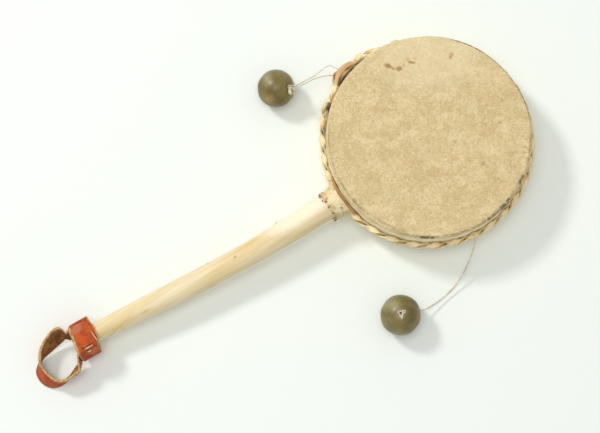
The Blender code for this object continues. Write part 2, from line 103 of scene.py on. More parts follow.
# Centre lines of the strings, from the lace to the seeds.
STRING_1_UPPER_ROUTE = (
    (-0.0240, 0.0690, 0.0200), (-0.0262, 0.0720, 0.0200), (-0.0300, 0.0768, 0.0197),
    (-0.0368, 0.0766, 0.0185), (-0.0413, 0.0760, 0.0179), (-0.0453, 0.0761, 0.0178),
    (-0.0500, 0.0762, 0.0182), (-0.0546, 0.0760, 0.0196), (-0.0575, 0.0766, 0.0216),
    (-0.0592, 0.0777, 0.0223), (-0.0600, 0.0783, 0.0213), (-0.0615, 0.0794, 0.0192),
)
STRING_1_LOWER_ROUTE = (
    (-0.0296, 0.0676, 0.0180), (-0.0318, 0.0706, 0.0180), (-0.0350, 0.0722, 0.0178),
    (-0.0384, 0.0735, 0.0172), (-0.0415, 0.0743, 0.0169), (-0.0453, 0.0747, 0.0168),
    (-0.0500, 0.0748, 0.0173), (-0.0546, 0.0746, 0.0188), (-0.0578, 0.0752, 0.0212),
    (-0.0597, 0.0767, 0.0222), (-0.0606, 0.0773, 0.0213), (-0.0621, 0.0785, 0.0192),
)
STRING_2_ROUTE = (
    (-0.0054, -0.0688, 0.0195), (-0.0062, -0.0712, 0.0190), (-0.0080, -0.0736, 0.0182),
    (-0.0110, -0.0768, 0.0160), (-0.0150, -0.0803, 0.0128), (-0.0196, -0.0836, 0.0096),
    (-0.0247, -0.0868, 0.0067), (-0.0310, -0.0898, 0.0044), (-0.0380, -0.0918, 0.0034),
    (-0.0450, -0.0930, 0.0036), (-0.0520, -0.0934, 0.0050), (-0.0580, -0.0931, 0.0070),
    (-0.0640, -0.0915, 0.0094),
)

# Stations of the wrist loop beyond the collar: reach, sideways and drop as shares of the
# sizes below, and the strap's lean in degrees.
LOOP_REACH, LOOP_HALF_WIDTH, LOOP_DROP = 0.0284, 0.01415, 0.0080
LOOP_COURSE = (
    (0.105, 0.780, 0.13, 30), (0.231, 0.795, 0.35, 38), (0.379, 0.721, 0.54, 37),
    (0.535, 0.615, 0.62, 29), (0.683, 0.463, 0.69, 16), (0.801, 0.296, 0.75, 1),
    (0.900, 0.080, 0.86, -11), (0.972, -0.183, 0.96, -27), (0.970, -0.560, 1.00, -32),
    (0.880, -0.881, 0.99, -27), (0.757, -1.059, 0.91, -13), (0.610, -1.142, 0.84, 2),
    (0.461, -1.123, 0.76, 11), (0.274, -1.028, 0.60, 17), (0.105, -0.915, 0.35, 17),
)
LOOP_STEPS, LOOP_FINER = 28, 7
HELD_END = 0.0104

# The collar round the stick's end, and half the thickness of that end.
COLLAR_BACK = -0.2655
COLLAR_ROLL = radians(14)
COLLAR_SET_BACK = 0.0004
COLLAR_WIDTH = 0.0145
COLLAR_SKEW = 0.12
STRAP_TIP = Vector((COLLAR_BACK, 0.00053, 0.0145))
STICK_END_HALF = 0.0065
GAP = 0.0003

# The stage: the camera's place, what it looks at, its lens in mm, and what the lamps light.
CAMERA_PLACE = Vector((-0.18624, -0.15408, 1.18546))
CAMERA_AIM = Vector((-0.09556, 0.00185, 0.0))
CAMERA_LENS = 108.5
STAGE_MIDDLE = Vector((-0.08, 0.0, 0.0))

# Marks on the front head, seen from above: x, y and half sizes in mm, turn, depth, tone.
STAIN_BROWN, STAIN_RED = (156, 104, 44), (205, 158, 104)
STAIN_GREY, STAIN_DARK = (128, 126, 96), (140, 120, 76)
HEAD_SPOTS = (
    (29.0, 50.0, 40.0, 33.0, -0.5, 0.36, (236, 222, 180)),
    (0.7, 53.6, 3.0, 1.8, -0.9, 0.8, STAIN_BROWN),
    (2.6, 50.5, 1.7, 1.4, -0.9, 0.55, STAIN_BROWN),
    (5.9, 48.3, 2.5, 2.0, -0.3, 0.72, STAIN_BROWN),
    (10.0, 49.0, 1.8, 0.9, 0.9, 0.35, STAIN_BROWN),
    (15.0, 48.0, 3.0, 1.1, -0.75, 0.8, (166, 116, 64)),
    (13.9, 51.0, 1.4, 1.8, 0.2, 0.5, STAIN_RED),
    (18.3, 49.0, 1.4, 1.9, 0.5, 0.45, STAIN_RED),
    (39.5, 38.8, 3.0, 1.5, 0.6, 0.75, (192, 136, 82)),
    (6.5, -20.1, 3.2, 2.2, 0.4, 0.4, STAIN_RED),
    (-8.1, -20.7, 3.0, 4.5, 0.2, 0.4, STAIN_RED),
    (20.7, -32.8, 2.1, 1.7, 0.3, 0.45, STAIN_DARK),
    (44.1, -15.3, 2.2, 0.7, -0.4, 0.45, STAIN_DARK),
    (-63.0, -12.5, 1.6, 1.2, 0.6, 0.55, STAIN_GREY),
    (-61.0, -16.0, 1.8, 0.8, -0.2, 0.35, STAIN_GREY),
    (-34.3, -55.2, 2.6, 0.7, -0.55, 0.3, STAIN_DARK),
    (48.1, -40.0, 2.6, 0.4, -0.7, 0.5, STAIN_DARK),
    (50.0, -37.2, 2.4, 0.4, -0.65, 0.5, STAIN_DARK),
    (46.2, -43.0, 2.2, 0.4, -0.8, 0.45, STAIN_DARK),
)

# Marks along its rim, as painted shade where the rounded edge and side turn from the light, the
# dark line on the upper right being the side seen edge on, and dark dashes at the edge: angle and
# half width in degrees, radius and breadth in mm, depth, tone.
RIM_SHADE_LINE, RIM_DARK = (120, 104, 76), (86, 78, 62)
RIM_ARCS = (
    (238, 5, 65.8, 1.1, 0.95, RIM_DARK), (288, 6, 65.5, 1.5, 0.95, RIM_DARK),
    (304, 4, 65.2, 1.3, 0.9, RIM_DARK), (277, 6, 65.6, 0.9, 0.7, RIM_DARK),
    (256, 48, 65.5, 0.8, 0.55, RIM_SHADE_LINE), (290, 22, 64.5, 1.0, 0.30, RIM_SHADE_LINE),
    (214, 14, 64.0, 1.0, 0.40, RIM_SHADE_LINE), (172, 38, 65.0, 0.7, 0.45, RIM_SHADE_LINE),
    (14, 40, 66.6, 1.1, 0.85, (104, 84, 46)), (38, 13, 66.4, 0.9, 0.65, RIM_DARK),
    (322, 10, 65.2, 1.0, 0.5, RIM_SHADE_LINE), (190, 18, 64.3, 0.8, 0.4, RIM_SHADE_LINE),
)

# Marks on the stick and on the collar, as on the front head. The stick's last mark is a painted
# highlight on its upper, lit side; the collar's first mark is a painted highlight on its upper
# side and its last is painted light on its shaded lower tab.
KNOTTY, GOLDEN, CREASE = (140, 100, 58), (222, 184, 116), (112, 26, 12)
STICK_SPOTS = (
    (-164.4, 3.3, 1.5, 0.8, 0.1, 0.8, KNOTTY), (-147.1, -3.1, 1.3, 0.7, 0.2, 0.6, KNOTTY),
    (-108.1, 3.7, 1.2, 0.9, 0.5, 0.8, KNOTTY), (-132.0, 0.0, 33.0, 1.6, 0.03, 0.45, GOLDEN),
    (-113.0, -2.0, 18.0, 1.0, 0.05, 0.4, GOLDEN), (-234.0, -4.2, 14.0, 0.8, 0.22, 0.5, GOLDEN),
    (-98.0, 0.0, 30.0, 8.0, 0.0, 0.8, (252, 244, 218)),
)
COLLAR_SPOTS = (
    (-258.9, 8.0, 5.0, 3.4, -0.1, 0.5, (214, 142, 106)),
    (-258.4, -0.8, 3.6, 3.8, 0.0, 0.6, (212, 88, 26)),
    (-255.6, 9.8, 4.0, 0.6, -0.1, 0.3, (228, 176, 136)),
    (-250.05, -3.0, 0.6, 6.2, 0.06, 0.9, CREASE),
    (-250.85, -2.4, 0.45, 5.0, 0.06, 0.95, (232, 190, 140)),
    (-251.6, -2.6, 0.5, 4.6, 0.08, 0.5, CREASE),
    (-261.1, -5.3, 1.1, 1.6, 0.3, 0.7, CREASE),
    (-257.0, -5.6, 4.6, 0.6, 0.10, 0.75, CREASE),
    (-260.0, -9.8, 1.6, 1.0, 0.5, 0.6, CREASE),
    (-256.6, -9.2, 5.2, 1.6, 0.0, 0.6, (208, 112, 60)),
)

# The seeds: node, radius, centre, bores (way, start as a share, radius), shift of grain, marks.
# Each seed's first mark is a painted highlight on its upper left, and the second seed's second
# mark is painted shade on its right edge.
SEEDS = (
    ("pellet_1", 0.0124, Vector((-0.0670, 0.0826, 0.0122)),
     (((0.55, -0.39, 0.74), -1.0, 0.0015),), (0.3, 0.1, 0.5),
     ((-69.6, 89.0, 4.4, 7.4, -0.5, 0.75, (180, 170, 128)),
      (-75.7, 77.0, 6.2, 4.0, -0.7, 0.7, (184, 150, 96)),
      (-74.5, 90.5, 2.6, 5.6, -0.5, 0.6, (90, 98, 58)),
      (-64.8, 85.0, 5.0, 5.6, 0.0, 0.6, (120, 92, 38)))),
    ("pellet_2", 0.0132, Vector((-0.0726, -0.0888, 0.0130)),
     (((0.88, -0.27, -0.38), 0.0, 0.0011), ((-0.04, 0.0, 1.0), 0.0, 0.0011)), (0.7, 0.4, 0.2),
     ((-75.0, -80.8, 8.6, 6.2, -0.5, 0.75, (176, 168, 132)),
      (-60.4, -87.2, 3.0, 6.4, 0.1, 0.7, (84, 72, 44)),
      (-80.0, -98.0, 7.0, 4.4, -0.5, 0.55, (152, 146, 88)))),
)


def tone(red, green, blue):
    """A screen colour of 0 to 255 as the linear colour that the shaders take."""
    shares = [value / 255 for value in (red, green, blue)]
    return tuple(s / 12.92 if s <= 0.04045 else ((s + 0.055) / 1.055) ** 2.4 for s in shares)


# Mesh tools


def around(steps):
    """The angles of points spaced evenly round a circle."""
    return [2 * pi * k / steps for k in range(steps)]


def smooth_through(points, share):
    """The place at a share from 0 to 1 on a smooth curve through evenly counted points."""
    spans = len(points) - 1
    at = min(max(share, 0.0), 1.0) * spans
    i = min(int(at), spans - 1)
    t = at - i
    ends = (points[max(i - 1, 0)], points[i], points[i + 1], points[min(i + 2, spans)])
    found = []
    for a, b, c, d in zip(*ends):
        found.append(0.5 * (2 * b + (c - a) * t + (2 * a - 5 * b + 4 * c - d) * t * t
                            + (3 * b - a - 3 * c + d) * t ** 3))
    return found


def ease(low, high, value):
    """0 below low, 1 above high, and a smooth rise between them."""
    share = min(max((value - low) / (high - low), 0.0), 1.0)
    return share * share * (3 - 2 * share)


def lumps(place, size, seed):
    """Smooth noise of -1 to 1 whose lumps are about size across."""
    return noise.noise(Vector(place) / size + Vector((seed, seed * 0.37, -seed * 0.71)))


def finish_mesh(name, mesh, finishes, sharp=50):
    """Turns a bmesh into an object with its finishes, smooth apart from its sharp edges."""
    bmesh.ops.remove_doubles(mesh, verts=mesh.verts, dist=1e-6)
    bmesh.ops.recalc_face_normals(mesh, faces=mesh.faces)
    data = bpy.data.meshes.new(name)
    mesh.to_mesh(data)
    mesh.free()
    for finish in finishes:
        data.materials.append(finish)
    data.shade_smooth()
    data.set_sharp_from_angle(angle=radians(sharp))
    thing = bpy.data.objects.new(name, data)
    bpy.context.scene.collection.objects.link(thing)
    return thing


def join_rows(mesh, low, high, finish_of=None):
    """Faces between two rings of vertices, either of which may be a single point."""
    count = max(len(low), len(high))
    for k in range(count):
        after = (k + 1) % count
        corners = [low[k % len(low)], low[after % len(low)],
                   high[after % len(high)], high[k % len(high)]]
        kept = []
        for corner in corners:
            if corner not in kept:
                kept.append(corner)
        if len(kept) > 2:
            face = mesh.faces.new(kept)
            if finish_of:
                face.material_index = finish_of[k]


def skin(name, rings, finishes, closed=False, finish_of=None, sharp=50):
    """A smooth skin over rings of points, capped at its ends unless it closes on itself."""
    mesh = bmesh.new()
    rows = [[mesh.verts.new(point) for point in ring] for ring in rings]
    for low, high in zip(rows, rows[1:]):
        join_rows(mesh, low, high, finish_of)
    if closed:
        join_rows(mesh, rows[-1], rows[0], finish_of)
    else:
        for row in (rows[0], rows[-1]):
            if len(row) > 2:
                mesh.faces.new(row)
    return finish_mesh(name, mesh, finishes, sharp)


def turned_rings(profile, steps, shape):
    """Rings round Z from a profile of radius and height, each point moved by shape."""
    rings = []
    for radius, height in profile:
        if radius == 0:
            rings.append([shape(0.0, 0.0, height)])
        else:
            rings.append([shape(radius, angle, height) for angle in around(steps)])
    return rings


def path_frames(points):
    """For each point of a path: the point, its direction, and two steady directions across."""
    frames = []
    across = None
    for i, point in enumerate(points):
        way = (points[min(i + 1, len(points) - 1)] - points[max(i - 1, 0)]).normalized()
        if across is None:
            guide = UP if abs(way.z) < 0.9 else Vector((1, 0, 0))
            across = way.cross(guide)
        across = (across - way * across.dot(way)).normalized()
        frames.append((point, way, across, way.cross(across)))
    return frames


def even_path(route, spacing):
    """A smooth path through a route in even steps, and its length."""
    fine = [Vector(smooth_through(route, i / 600)) for i in range(601)]
    length = sum((b - a).length for a, b in zip(fine, fine[1:]))
    count = max(int(length / spacing), 4)
    chosen = [fine[0]]
    walked = 0.0
    for a, b in zip(fine, fine[1:]):
        walked += (b - a).length
        if walked >= len(chosen) * length / count and len(chosen) < count:
            chosen.append(b)
    chosen.append(fine[-1])
    return chosen, length


def twine_tube(name, route, diameter, pitch, finishes, sides=14):
    """Two plies of thread twisted together along a route."""
    path, length = even_path(route, diameter * 0.35)
    rings = []
    walked = 0.0
    for i, (point, _, across, up) in enumerate(path_frames(path)):
        if i:
            walked += (point - path[i - 1]).length
        turn = 2 * pi * walked / pitch
        ring = []
        for angle in around(sides):
            ply = 0.66 + 0.34 * abs(cos(angle - turn)) ** 0.8
            fuzz = 0.06 * lumps(point + across * cos(angle) * 0.001, 0.0006, 3.1 + angle)
            reach = diameter / 2 * (ply + fuzz)
            ring.append(point + across * cos(angle) * reach + up * sin(angle) * reach)
        rings.append(ring)
    return skin(name, rings, finishes, sharp=80), path, length


def cut_away(thing, cutter):
    """Takes a closed cutter out of a piece for good."""
    cut = thing.modifiers.new("cut", "BOOLEAN")
    cut.operation = "DIFFERENCE"
    cut.solver = "EXACT"
    cut.object = cutter
    bpy.context.view_layer.update()
    evaluated = thing.evaluated_get(bpy.context.evaluated_depsgraph_get())
    data = bpy.data.meshes.new_from_object(evaluated)
    thing.modifiers.clear()
    thing.data = data
    bpy.data.objects.remove(cutter, do_unlink=True)


def rod_cutter(start, end, radius):
    """A round rod from one place to another, to cut with."""
    start, end = Vector(start), Vector(end)
    rings = [[point + (across * cos(a) + up * sin(a)) * radius for a in around(40)]
             for point, _, across, up in path_frames([start, (start + end) / 2, end])]
    return skin("cutter", rings, [])


def outward(degree):
    """The level direction away from the drum's axis, at an angle in degrees."""
    return Vector((cos(radians(degree)), sin(radians(degree)), 0.0))


def dress(piece, node=None):
    """Puts a piece on the body, in the place of a solid if one is given."""
    if node:
        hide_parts(node)
    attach(piece, "root")


# Material tools


def add_node(tree, kind, inputs=(), **settings):
    made = tree.nodes.new(kind)
    for key, value in settings.items():
        setattr(made, key, value)
    for key, value in dict(inputs).items():
        if isinstance(value, bpy.types.NodeSocket):
            tree.links.new(value, made.inputs[key])
        else:
            made.inputs[key].default_value = value
    return made


def maths(tree, operation, first, second=0.0, third=0.0):
    return add_node(tree, "ShaderNodeMath", {0: first, 1: second, 2: third},
                    operation=operation).outputs[0]


def stretch(tree, place, scale, offset=(0, 0, 0)):
    return add_node(tree, "ShaderNodeMapping", {"Vector": place, "Scale": scale,
                                                "Location": offset}).outputs[0]


def cloud(tree, place, scale, detail=4.0, rough=0.55, twist=0.0):
    return add_node(tree, "ShaderNodeTexNoise",
                    {"Vector": place, "Scale": scale, "Detail": detail, "Roughness": rough,
                     "Distortion": twist}).outputs[0]


def remap(tree, value, low, high, out_low=0.0, out_high=1.0):
    return add_node(tree, "ShaderNodeMapRange",
                    {"Value": value, "From Min": low, "From Max": high,
                     "To Min": out_low, "To Max": out_high},
                    interpolation_type="SMOOTHSTEP").outputs[0]


def blend(tree, share, first, second):
    values = {0: share}
    for key, colour in ((6, first), (7, second)):
        values[key] = colour if isinstance(colour, bpy.types.NodeSocket) else (*colour, 1.0)
    return add_node(tree, "ShaderNodeMix", values, data_type="RGBA").outputs[2]


def patches(tree, place, grain, span=None, scale=None, offset=(0, 0, 0)):
    """A cloud, or with a span 1 in its thick parts and 0 in its thin ones."""
    if scale:
        place = stretch(tree, place, scale, offset)
    found = cloud(tree, place, *grain)
    return remap(tree, found, *span) if span else found


def stain(tree, colour, share, depth, new):
    """A colour with a new tone over it, as far as a share times a depth goes."""
    return blend(tree, maths(tree, "MULTIPLY", share, depth), colour, tone(*new))


def paint_crowded_shade(tree, colour, distance, span, depth, new):
    """Painted shade: a colour with a new tone over it where surfaces crowd together."""
    free = add_node(tree, "ShaderNodeAmbientOcclusion", {"Distance": distance}, samples=8)
    return blend(tree, remap(tree, free.outputs["AO"], *span, depth, 0.0), colour, tone(*new))


def blank_material(name, roughness, specular):
    made = bpy.data.materials.new(name)
    made.use_nodes = True
    tree = made.node_tree
    shader = tree.nodes["Principled BSDF"]
    shader.inputs["Roughness"].default_value = roughness
    shader.inputs["Specular IOR Level"].default_value = specular
    return made, tree, add_node(tree, "ShaderNodeTexCoord").outputs["Object"]


def finished(made, colour, height=None, strength=0.0, distance=0.0):
    """Joins a material's colour and its fine relief to its shader."""
    tree = made.node_tree
    shader = tree.nodes["Principled BSDF"]
    tree.links.new(colour, shader.inputs["Base Color"])
    if height is not None:
        bump = add_node(tree, "ShaderNodeBump",
                        {"Height": height, "Strength": strength, "Distance": distance})
        tree.links.new(bump.outputs[0], shader.inputs["Normal"])
    return made


def spot(tree, place, centre, size, turn, ragged, firm):
    """A soft ragged spot, seen from above: 1 in its middle and 0 outside."""
    moved = add_node(tree, "ShaderNodeMapping",
                     {"Vector": place, "Location": (centre[0], centre[1], 0.0),
                      "Rotation": (0.0, 0.0, turn), "Scale": (size[0], size[1], 1e6)},
                     vector_type="TEXTURE").outputs[0]
    reach = add_node(tree, "ShaderNodeVectorMath", {0: moved}, operation="LENGTH").outputs[1]
    rag = maths(tree, "MULTIPLY_ADD", cloud(tree, place, 900, 3), ragged * 2, -ragged)
    return remap(tree, maths(tree, "ADD", reach, rag), firm, 1.15, 1.0, 0.0)


def on_top(tree, place):
    """1 on what faces up and 0 below the middle of the drum, for marks that show from above."""
    height = add_node(tree, "ShaderNodeSeparateXYZ", {0: place}).outputs[2]
    return remap(tree, height, MIDDLE - 0.006, MIDDLE - 0.003)


def lay_spots(tree, colour, place, marks, edge=(0.35, 0.45), above=False):
    """A colour with a table of spots over it; above keeps them off what faces down."""
    for x, y, half_x, half_y, turn, depth, new in marks:
        share = spot(tree, place, (x * MM, y * MM), (half_x * MM, half_y * MM), turn, *edge)
        if above:
            share = maths(tree, "MULTIPLY", share, on_top(tree, place))
        colour = stain(tree, colour, share, depth, new)
    return colour


def round_the_drum(tree, place):
    """Distance from the axis, height, angle, and the place unrolled: along, out and up."""
    parts = add_node(tree, "ShaderNodeSeparateXYZ", {0: place}).outputs
    flat = add_node(tree, "ShaderNodeCombineXYZ", {0: parts[0], 1: parts[1]}).outputs[0]
    out = add_node(tree, "ShaderNodeVectorMath", {0: flat}, operation="LENGTH").outputs[1]
    angle = maths(tree, "ARCTAN2", parts[1], parts[0])
    along = maths(tree, "MULTIPLY", angle, SIDE)
    unrolled = add_node(tree, "ShaderNodeCombineXYZ", {0: along, 1: out, 2: parts[2]}).outputs[0]
    return out, parts[2], angle, unrolled


def lay_arcs(tree, colour, out, angle, arcs, patchiness=1.0):
    """A colour with a table of marks along the rim over it."""
    for centre, half_width, radius, breadth, depth, new in arcs:
        off = maths(tree, "WRAP", maths(tree, "SUBTRACT", angle, radians(centre)), pi, -pi)
        along = remap(tree, maths(tree, "ABSOLUTE", off), radians(half_width) * 0.6,
                      radians(half_width), 1.0, 0.0)
        apart = maths(tree, "ABSOLUTE", maths(tree, "SUBTRACT", out, radius * MM))
        across = remap(tree, apart, breadth * MM * 0.4, breadth * MM, 1.0, 0.0)
        share = maths(tree, "MULTIPLY", maths(tree, "MULTIPLY", along, across), patchiness)
        colour = stain(tree, colour, share, depth, new)
    return colour


# Finishes

# Grain of the hide: cloud, span, stretch, shift, depth, tone.
HIDE_LAYERS = (
    ((420, 5, 0.7), (0.42, 0.68), (1, 1, 1), (3, 1, 7), 0.60, (192, 168, 116)),
    ((120, 4, 0.6), (0.50, 0.72), (1, 1, 1), (9, 4, 2), 0.34, (210, 176, 126)),
    ((75, 4, 0.6), (0.54, 0.72), (1, 1, 1), (2, 8, 5), 0.45, (224, 208, 160)),
    ((720, 3, 0.75), (0.52, 0.68), (1, 1.6, 1), (0, 0, 0), 0.62, (164, 138, 88)),
    ((640, 3, 0.75), (0.54, 0.70), (1.5, 1, 1), (5, 5, 9), 0.65, (242, 226, 182)),
    ((260, 3, 0.6), (0.64, 0.72), (1, 2.2, 1), (8, 2, 4), 0.60, (160, 132, 88)),
)


def hide_finish(name, settings, marks, arcs):
    """Stretched rawhide: cloudy cream with grey and ochre patches, fine pores, painted shade along
    its rim, and a side painted lighter than its top.
    """
    made, tree, place = blank_material(name, 0.6, 0.3)
    out, height, angle, unrolled = round_the_drum(tree, place)
    colour = blend(tree, patches(tree, place, (95, 7, 0.78, 0.2), (0.38, 0.64)),
                   settings.hide_light, settings.hide_dark)
    for grain, span, scale, offset, depth, new in HIDE_LAYERS:
        share = patches(tree, place, grain, span, scale, offset)
        colour = stain(tree, colour, share, depth, new)
    colour = lay_spots(tree, colour, place, marks)
    # Painted shade along the rim, broken into patches by a cloud.
    patchiness = patches(tree, unrolled, (260, 4, 0.6), (0.36, 0.56))
    colour = lay_arcs(tree, colour, out, angle, arcs, patchiness)
    # Painted light: the rounded edge and turned-down side are painted paler than the top to offset
    # the shade they take.
    side = blend(tree, patches(tree, unrolled, (140, 4), (0.4, 0.65)),
                 tone(250, 238, 198), tone(236, 214, 164))
    colour = blend(tree, remap(tree, height, MIDDLE + 0.0168, MIDDLE + 0.0180), side, colour)
    pores = maths(tree, "MULTIPLY", cloud(tree, place, 1500, 4, 0.65), 0.35)
    relief = maths(tree, "MULTIPLY_ADD", cloud(tree, place, 160, 3), 0.8, pores)
    puckers = patches(tree, unrolled, (1.0, 3), None, (420, 40, 40))
    by_rim = maths(tree, "MULTIPLY", puckers, remap(tree, out, 0.050, 0.066))
    return finished(made, colour, maths(tree, "MULTIPLY_ADD", by_rim, 0.5, relief), 0.35, 0.0005)


def thong_finish(settings):
    """Rawhide thong: cream and honey, with painted shade in its folds and in the slits round its
    knot, and brown on the knot's bulge.
    """
    made, tree, place = blank_material("hide thong", 0.5, 0.35)
    out, _, angle, unrolled = round_the_drum(tree, place)
    streaks = patches(tree, unrolled, (1.0, 4, 0.6), (0.36, 0.66), (60, 500, 500))
    colour = blend(tree, streaks, settings.thong_light, settings.thong_dark)
    stains = patches(tree, place, (120, 3), (0.55, 0.72))
    colour = stain(tree, colour, stains, 0.5, (184, 136, 76))
    # The knot's bulge is brown; the dark arcs round it are painted shade in the slits, over the
    # strands and the tucked ends beneath.
    arcs = [(110, 10, 73.8, 5.0, 0.65, (184, 130, 72))]
    for centre, half_width, depth in ((110, 9, 0.95), (130, 3, 0.9), (133, 4, 0.5),
                                      (99, 4, 0.8), (144, 3, 0.4)):
        arcs.append((centre, half_width, 67.6, 4.0, depth, (66, 34, 12)))
    colour = lay_arcs(tree, colour, out, angle, arcs)
    # Painted shade where the strands crowd together.
    colour = paint_crowded_shade(tree, colour, 0.0020, (0.12, 0.55), 0.72, (112, 72, 32))
    grain = patches(tree, unrolled, (1.0, 4, 0.6), None, (260, 2200, 2200))
    return finished(made, colour, grain, 0.5, 0.0005)


def wrap_finish():
    """Rawhide bound over the neck: crumpled cream, with painted shade in its creases and in the
    slit at its upper end by the drum.
    """
    made, tree, place = blank_material("bound rawhide", 0.5, 0.35)
    out, height, _, _ = round_the_drum(tree, place)
    colour = blend(tree, patches(tree, place, (160, 4, 0.6), (0.38, 0.64)),
                   tone(240, 226, 184), tone(218, 192, 138))
    stains = patches(tree, place, (330, 3, 0.6), (0.56, 0.70), (1, 1, 1), (2, 5, 1))
    colour = stain(tree, colour, stains, 0.6, (176, 132, 78))
    # Painted shade on the wrap's upper end next to the drum, where a dark slit opens.
    raised = remap(tree, height, MIDDLE + 0.003, MIDDLE + 0.006)
    colour = stain(tree, colour, remap(tree, out, 0.0680, 0.0694, 1.0, 0.0), raised,
                   (176, 132, 80))
    colour = lay_spots(tree, colour, place, ((-77.0, -0.5, 1.6, 1.2, 0.0, 0.7, (206, 140, 74)),
                                             (-71.5, -10.5, 1.2, 1.0, 0.0, 0.7, (196, 128, 84))))
    # Painted shade in the wrap's creases.
    colour = paint_crowded_shade(tree, colour, 0.0015, (0.2, 0.65), 0.7, (120, 82, 40))
    return finished(made, colour, cloud(tree, place, 420, 5, 0.65, 0.8), 0.8, 0.0009)


def wood_finish(name, light, dark, deep, gloss, marks=()):
    """Peeled wood, with streaks and hairline cracks that run along X."""
    made, tree, place = blank_material(name, gloss, 0.4)
    broad = patches(tree, place, (1.0, 4, 0.55, 0.3), (0.36, 0.66), (14, 120, 120))
    colour = blend(tree, broad, light, dark)
    fine = patches(tree, place, (1.0, 5, 0.6), (0.45, 0.72), (40, 900, 900))
    colour = stain(tree, colour, fine, 0.4, deep)
    scuffs = patches(tree, place, (1.0, 4, 0.7), (0.60, 0.74), (30, 190, 190), (4, 1, 6))
    colour = stain(tree, colour, scuffs, 0.45, (190, 152, 90))
    # For the stick, the marks include a painted highlight along its lit upper side.
    colour = lay_spots(tree, colour, place, marks)
    fibre = patches(tree, place, (1.0, 5, 0.6), None, (60, 1500, 1500))
    return finished(made, colour, fibre, 0.35, 0.0005)


def leather_face_finish(name, settings, marks=()):
    """The dyed side of the strap: orange red, rubbed paler on its crowns, with painted shade in
    its creases.
    """
    made, tree, place = blank_material(name, 0.55, 0.22)
    colour = blend(tree, patches(tree, place, (130, 4, 0.6), (0.36, 0.66)),
                   settings.leather_light, settings.leather_dark)
    rub = patches(tree, place, (520, 4, 0.7), (0.58, 0.75), (1, 1, 1), (5, 2, 3))
    colour = stain(tree, colour, rub, 0.35, (206, 124, 76))
    # For the collar, the marks include a painted highlight and painted light on the shaded tab.
    colour = lay_spots(tree, colour, place, marks, above=True)
    # Painted shade where surfaces crowd together, in folds and corners.
    colour = paint_crowded_shade(tree, colour, 0.0025, (0.3, 0.8), 0.7, (116, 30, 18))
    cells = add_node(tree, "ShaderNodeTexVoronoi", {"Vector": place, "Scale": 1900},
                     feature="DISTANCE_TO_EDGE").outputs[0]
    grain = maths(tree, "MULTIPLY_ADD", remap(tree, cells, 0.0, 0.25), 0.5,
                  cloud(tree, place, 420, 4, 0.6))
    return finished(made, colour, grain, 0.4, 0.0005)


def leather_back_finish(settings):
    """The flesh side of the strap: brown, fibrous and dull."""
    made, tree, place = blank_material("flesh side leather", 0.9, 0.15)
    colour = blend(tree, patches(tree, place, (220, 5, 0.65), (0.34, 0.66)),
                   settings.suede_light, settings.suede_dark)
    fibres = patches(tree, place, (1.0, 4, 0.7), None, (700, 2400, 1600))
    colour = stain(tree, colour, remap(tree, fibres, 0.5, 0.70), 0.7, (196, 136, 84))
    grime = patches(tree, place, (620, 3, 0.7), (0.50, 0.66))
    colour = stain(tree, colour, grime, 0.5, (84, 50, 26))
    shaded = (-271.5, 11.5, 4.6, 3.6, 0.5, 0.8, (62, 36, 18))
    colour = lay_spots(tree, colour, place, (shaded,), (0.2, -0.2))
    return finished(made, colour, fibres, 0.7, 0.0005)


def seed_finish(name, settings, offset, marks):
    """A polished seed coat: olive brown with faint meridian streaks and patches, a painted
    highlight and painted shade among them.
    """
    made, tree, place = blank_material(name, 0.36, 0.45)
    shifted = stretch(tree, place, (1, 1, 1), offset)
    colour = blend(tree, patches(tree, shifted, (60, 4, 0.6, 0.5), (0.36, 0.66)),
                   settings.seed_light, settings.seed_dark)
    streaks = patches(tree, shifted, (1.0, 4, 0.6), (0.5, 0.74), (180, 180, 700))
    colour = stain(tree, colour, streaks, 0.35, (150, 138, 88))
    # The marks include a painted highlight on each seed and painted shade on the second's right
    # edge.
    colour = lay_spots(tree, colour, place, marks, (0.2, -0.3), above=True)
    freckles = patches(tree, shifted, (1100, 2, 0.6), (0.62, 0.75))
    colour = stain(tree, colour, freckles, 0.5, (82, 64, 34))
    return finished(made, colour, cloud(tree, shifted, 700, 4, 0.6), 0.18, 0.0005)


def plain_finish(name, surface, patchwork, light, dark, grain, relief):
    """Two tones in patches under a fine grain, for threads and cut edges."""
    made, tree, place = blank_material(name, *surface)
    colour = blend(tree, patches(tree, place, *patchwork), light, dark)
    return finished(made, colour, cloud(tree, place, *grain), *relief)


# Settings


def length_property(name, description, default):
    return FloatProperty(name=name, description=description, default=default, min=0.0,
                         unit="LENGTH", precision=5)


def colour_property(name, description, default):
    return FloatVectorProperty(name=name, description=description, default=default, size=3,
                               subtype="COLOR", min=0.0, max=1.0)


class PelletDrumHides(bpy.types.PropertyGroup):
    hide_light: colour_property("Hide, light", "Clear parts of the heads", tone(227, 206, 158))
    hide_dark: colour_property("Hide, dark", "Cloudy parts of the heads", tone(204, 182, 132))
    thong_light: colour_property("Thong, light", "Crests of the lace", tone(248, 232, 190))
    thong_dark: colour_property("Thong, dark", "Stained parts of the lace", tone(230, 204, 150))
    wave: length_property("Wave", "Height of the slow waves in the heads", 0.00018)
    pucker: length_property("Pucker", "Depth of the puckers at the rim", 0.00022)
    strand_width: length_property("Strand width", "Width of a strand of the lace", 0.0037)
    strand_thickness: length_property("Strand thickness", "Thickness of a strand", 0.0012)


class PelletDrumStick(bpy.types.PropertyGroup):
    wood_light: colour_property("Wood, light", "Clean parts of the stick", tone(238, 222, 186))
    wood_dark: colour_property("Wood, dark", "Streaks of the stick", tone(226, 203, 150))
    facet: length_property("Facet", "Depth of the flats left by peeling", 0.00028)


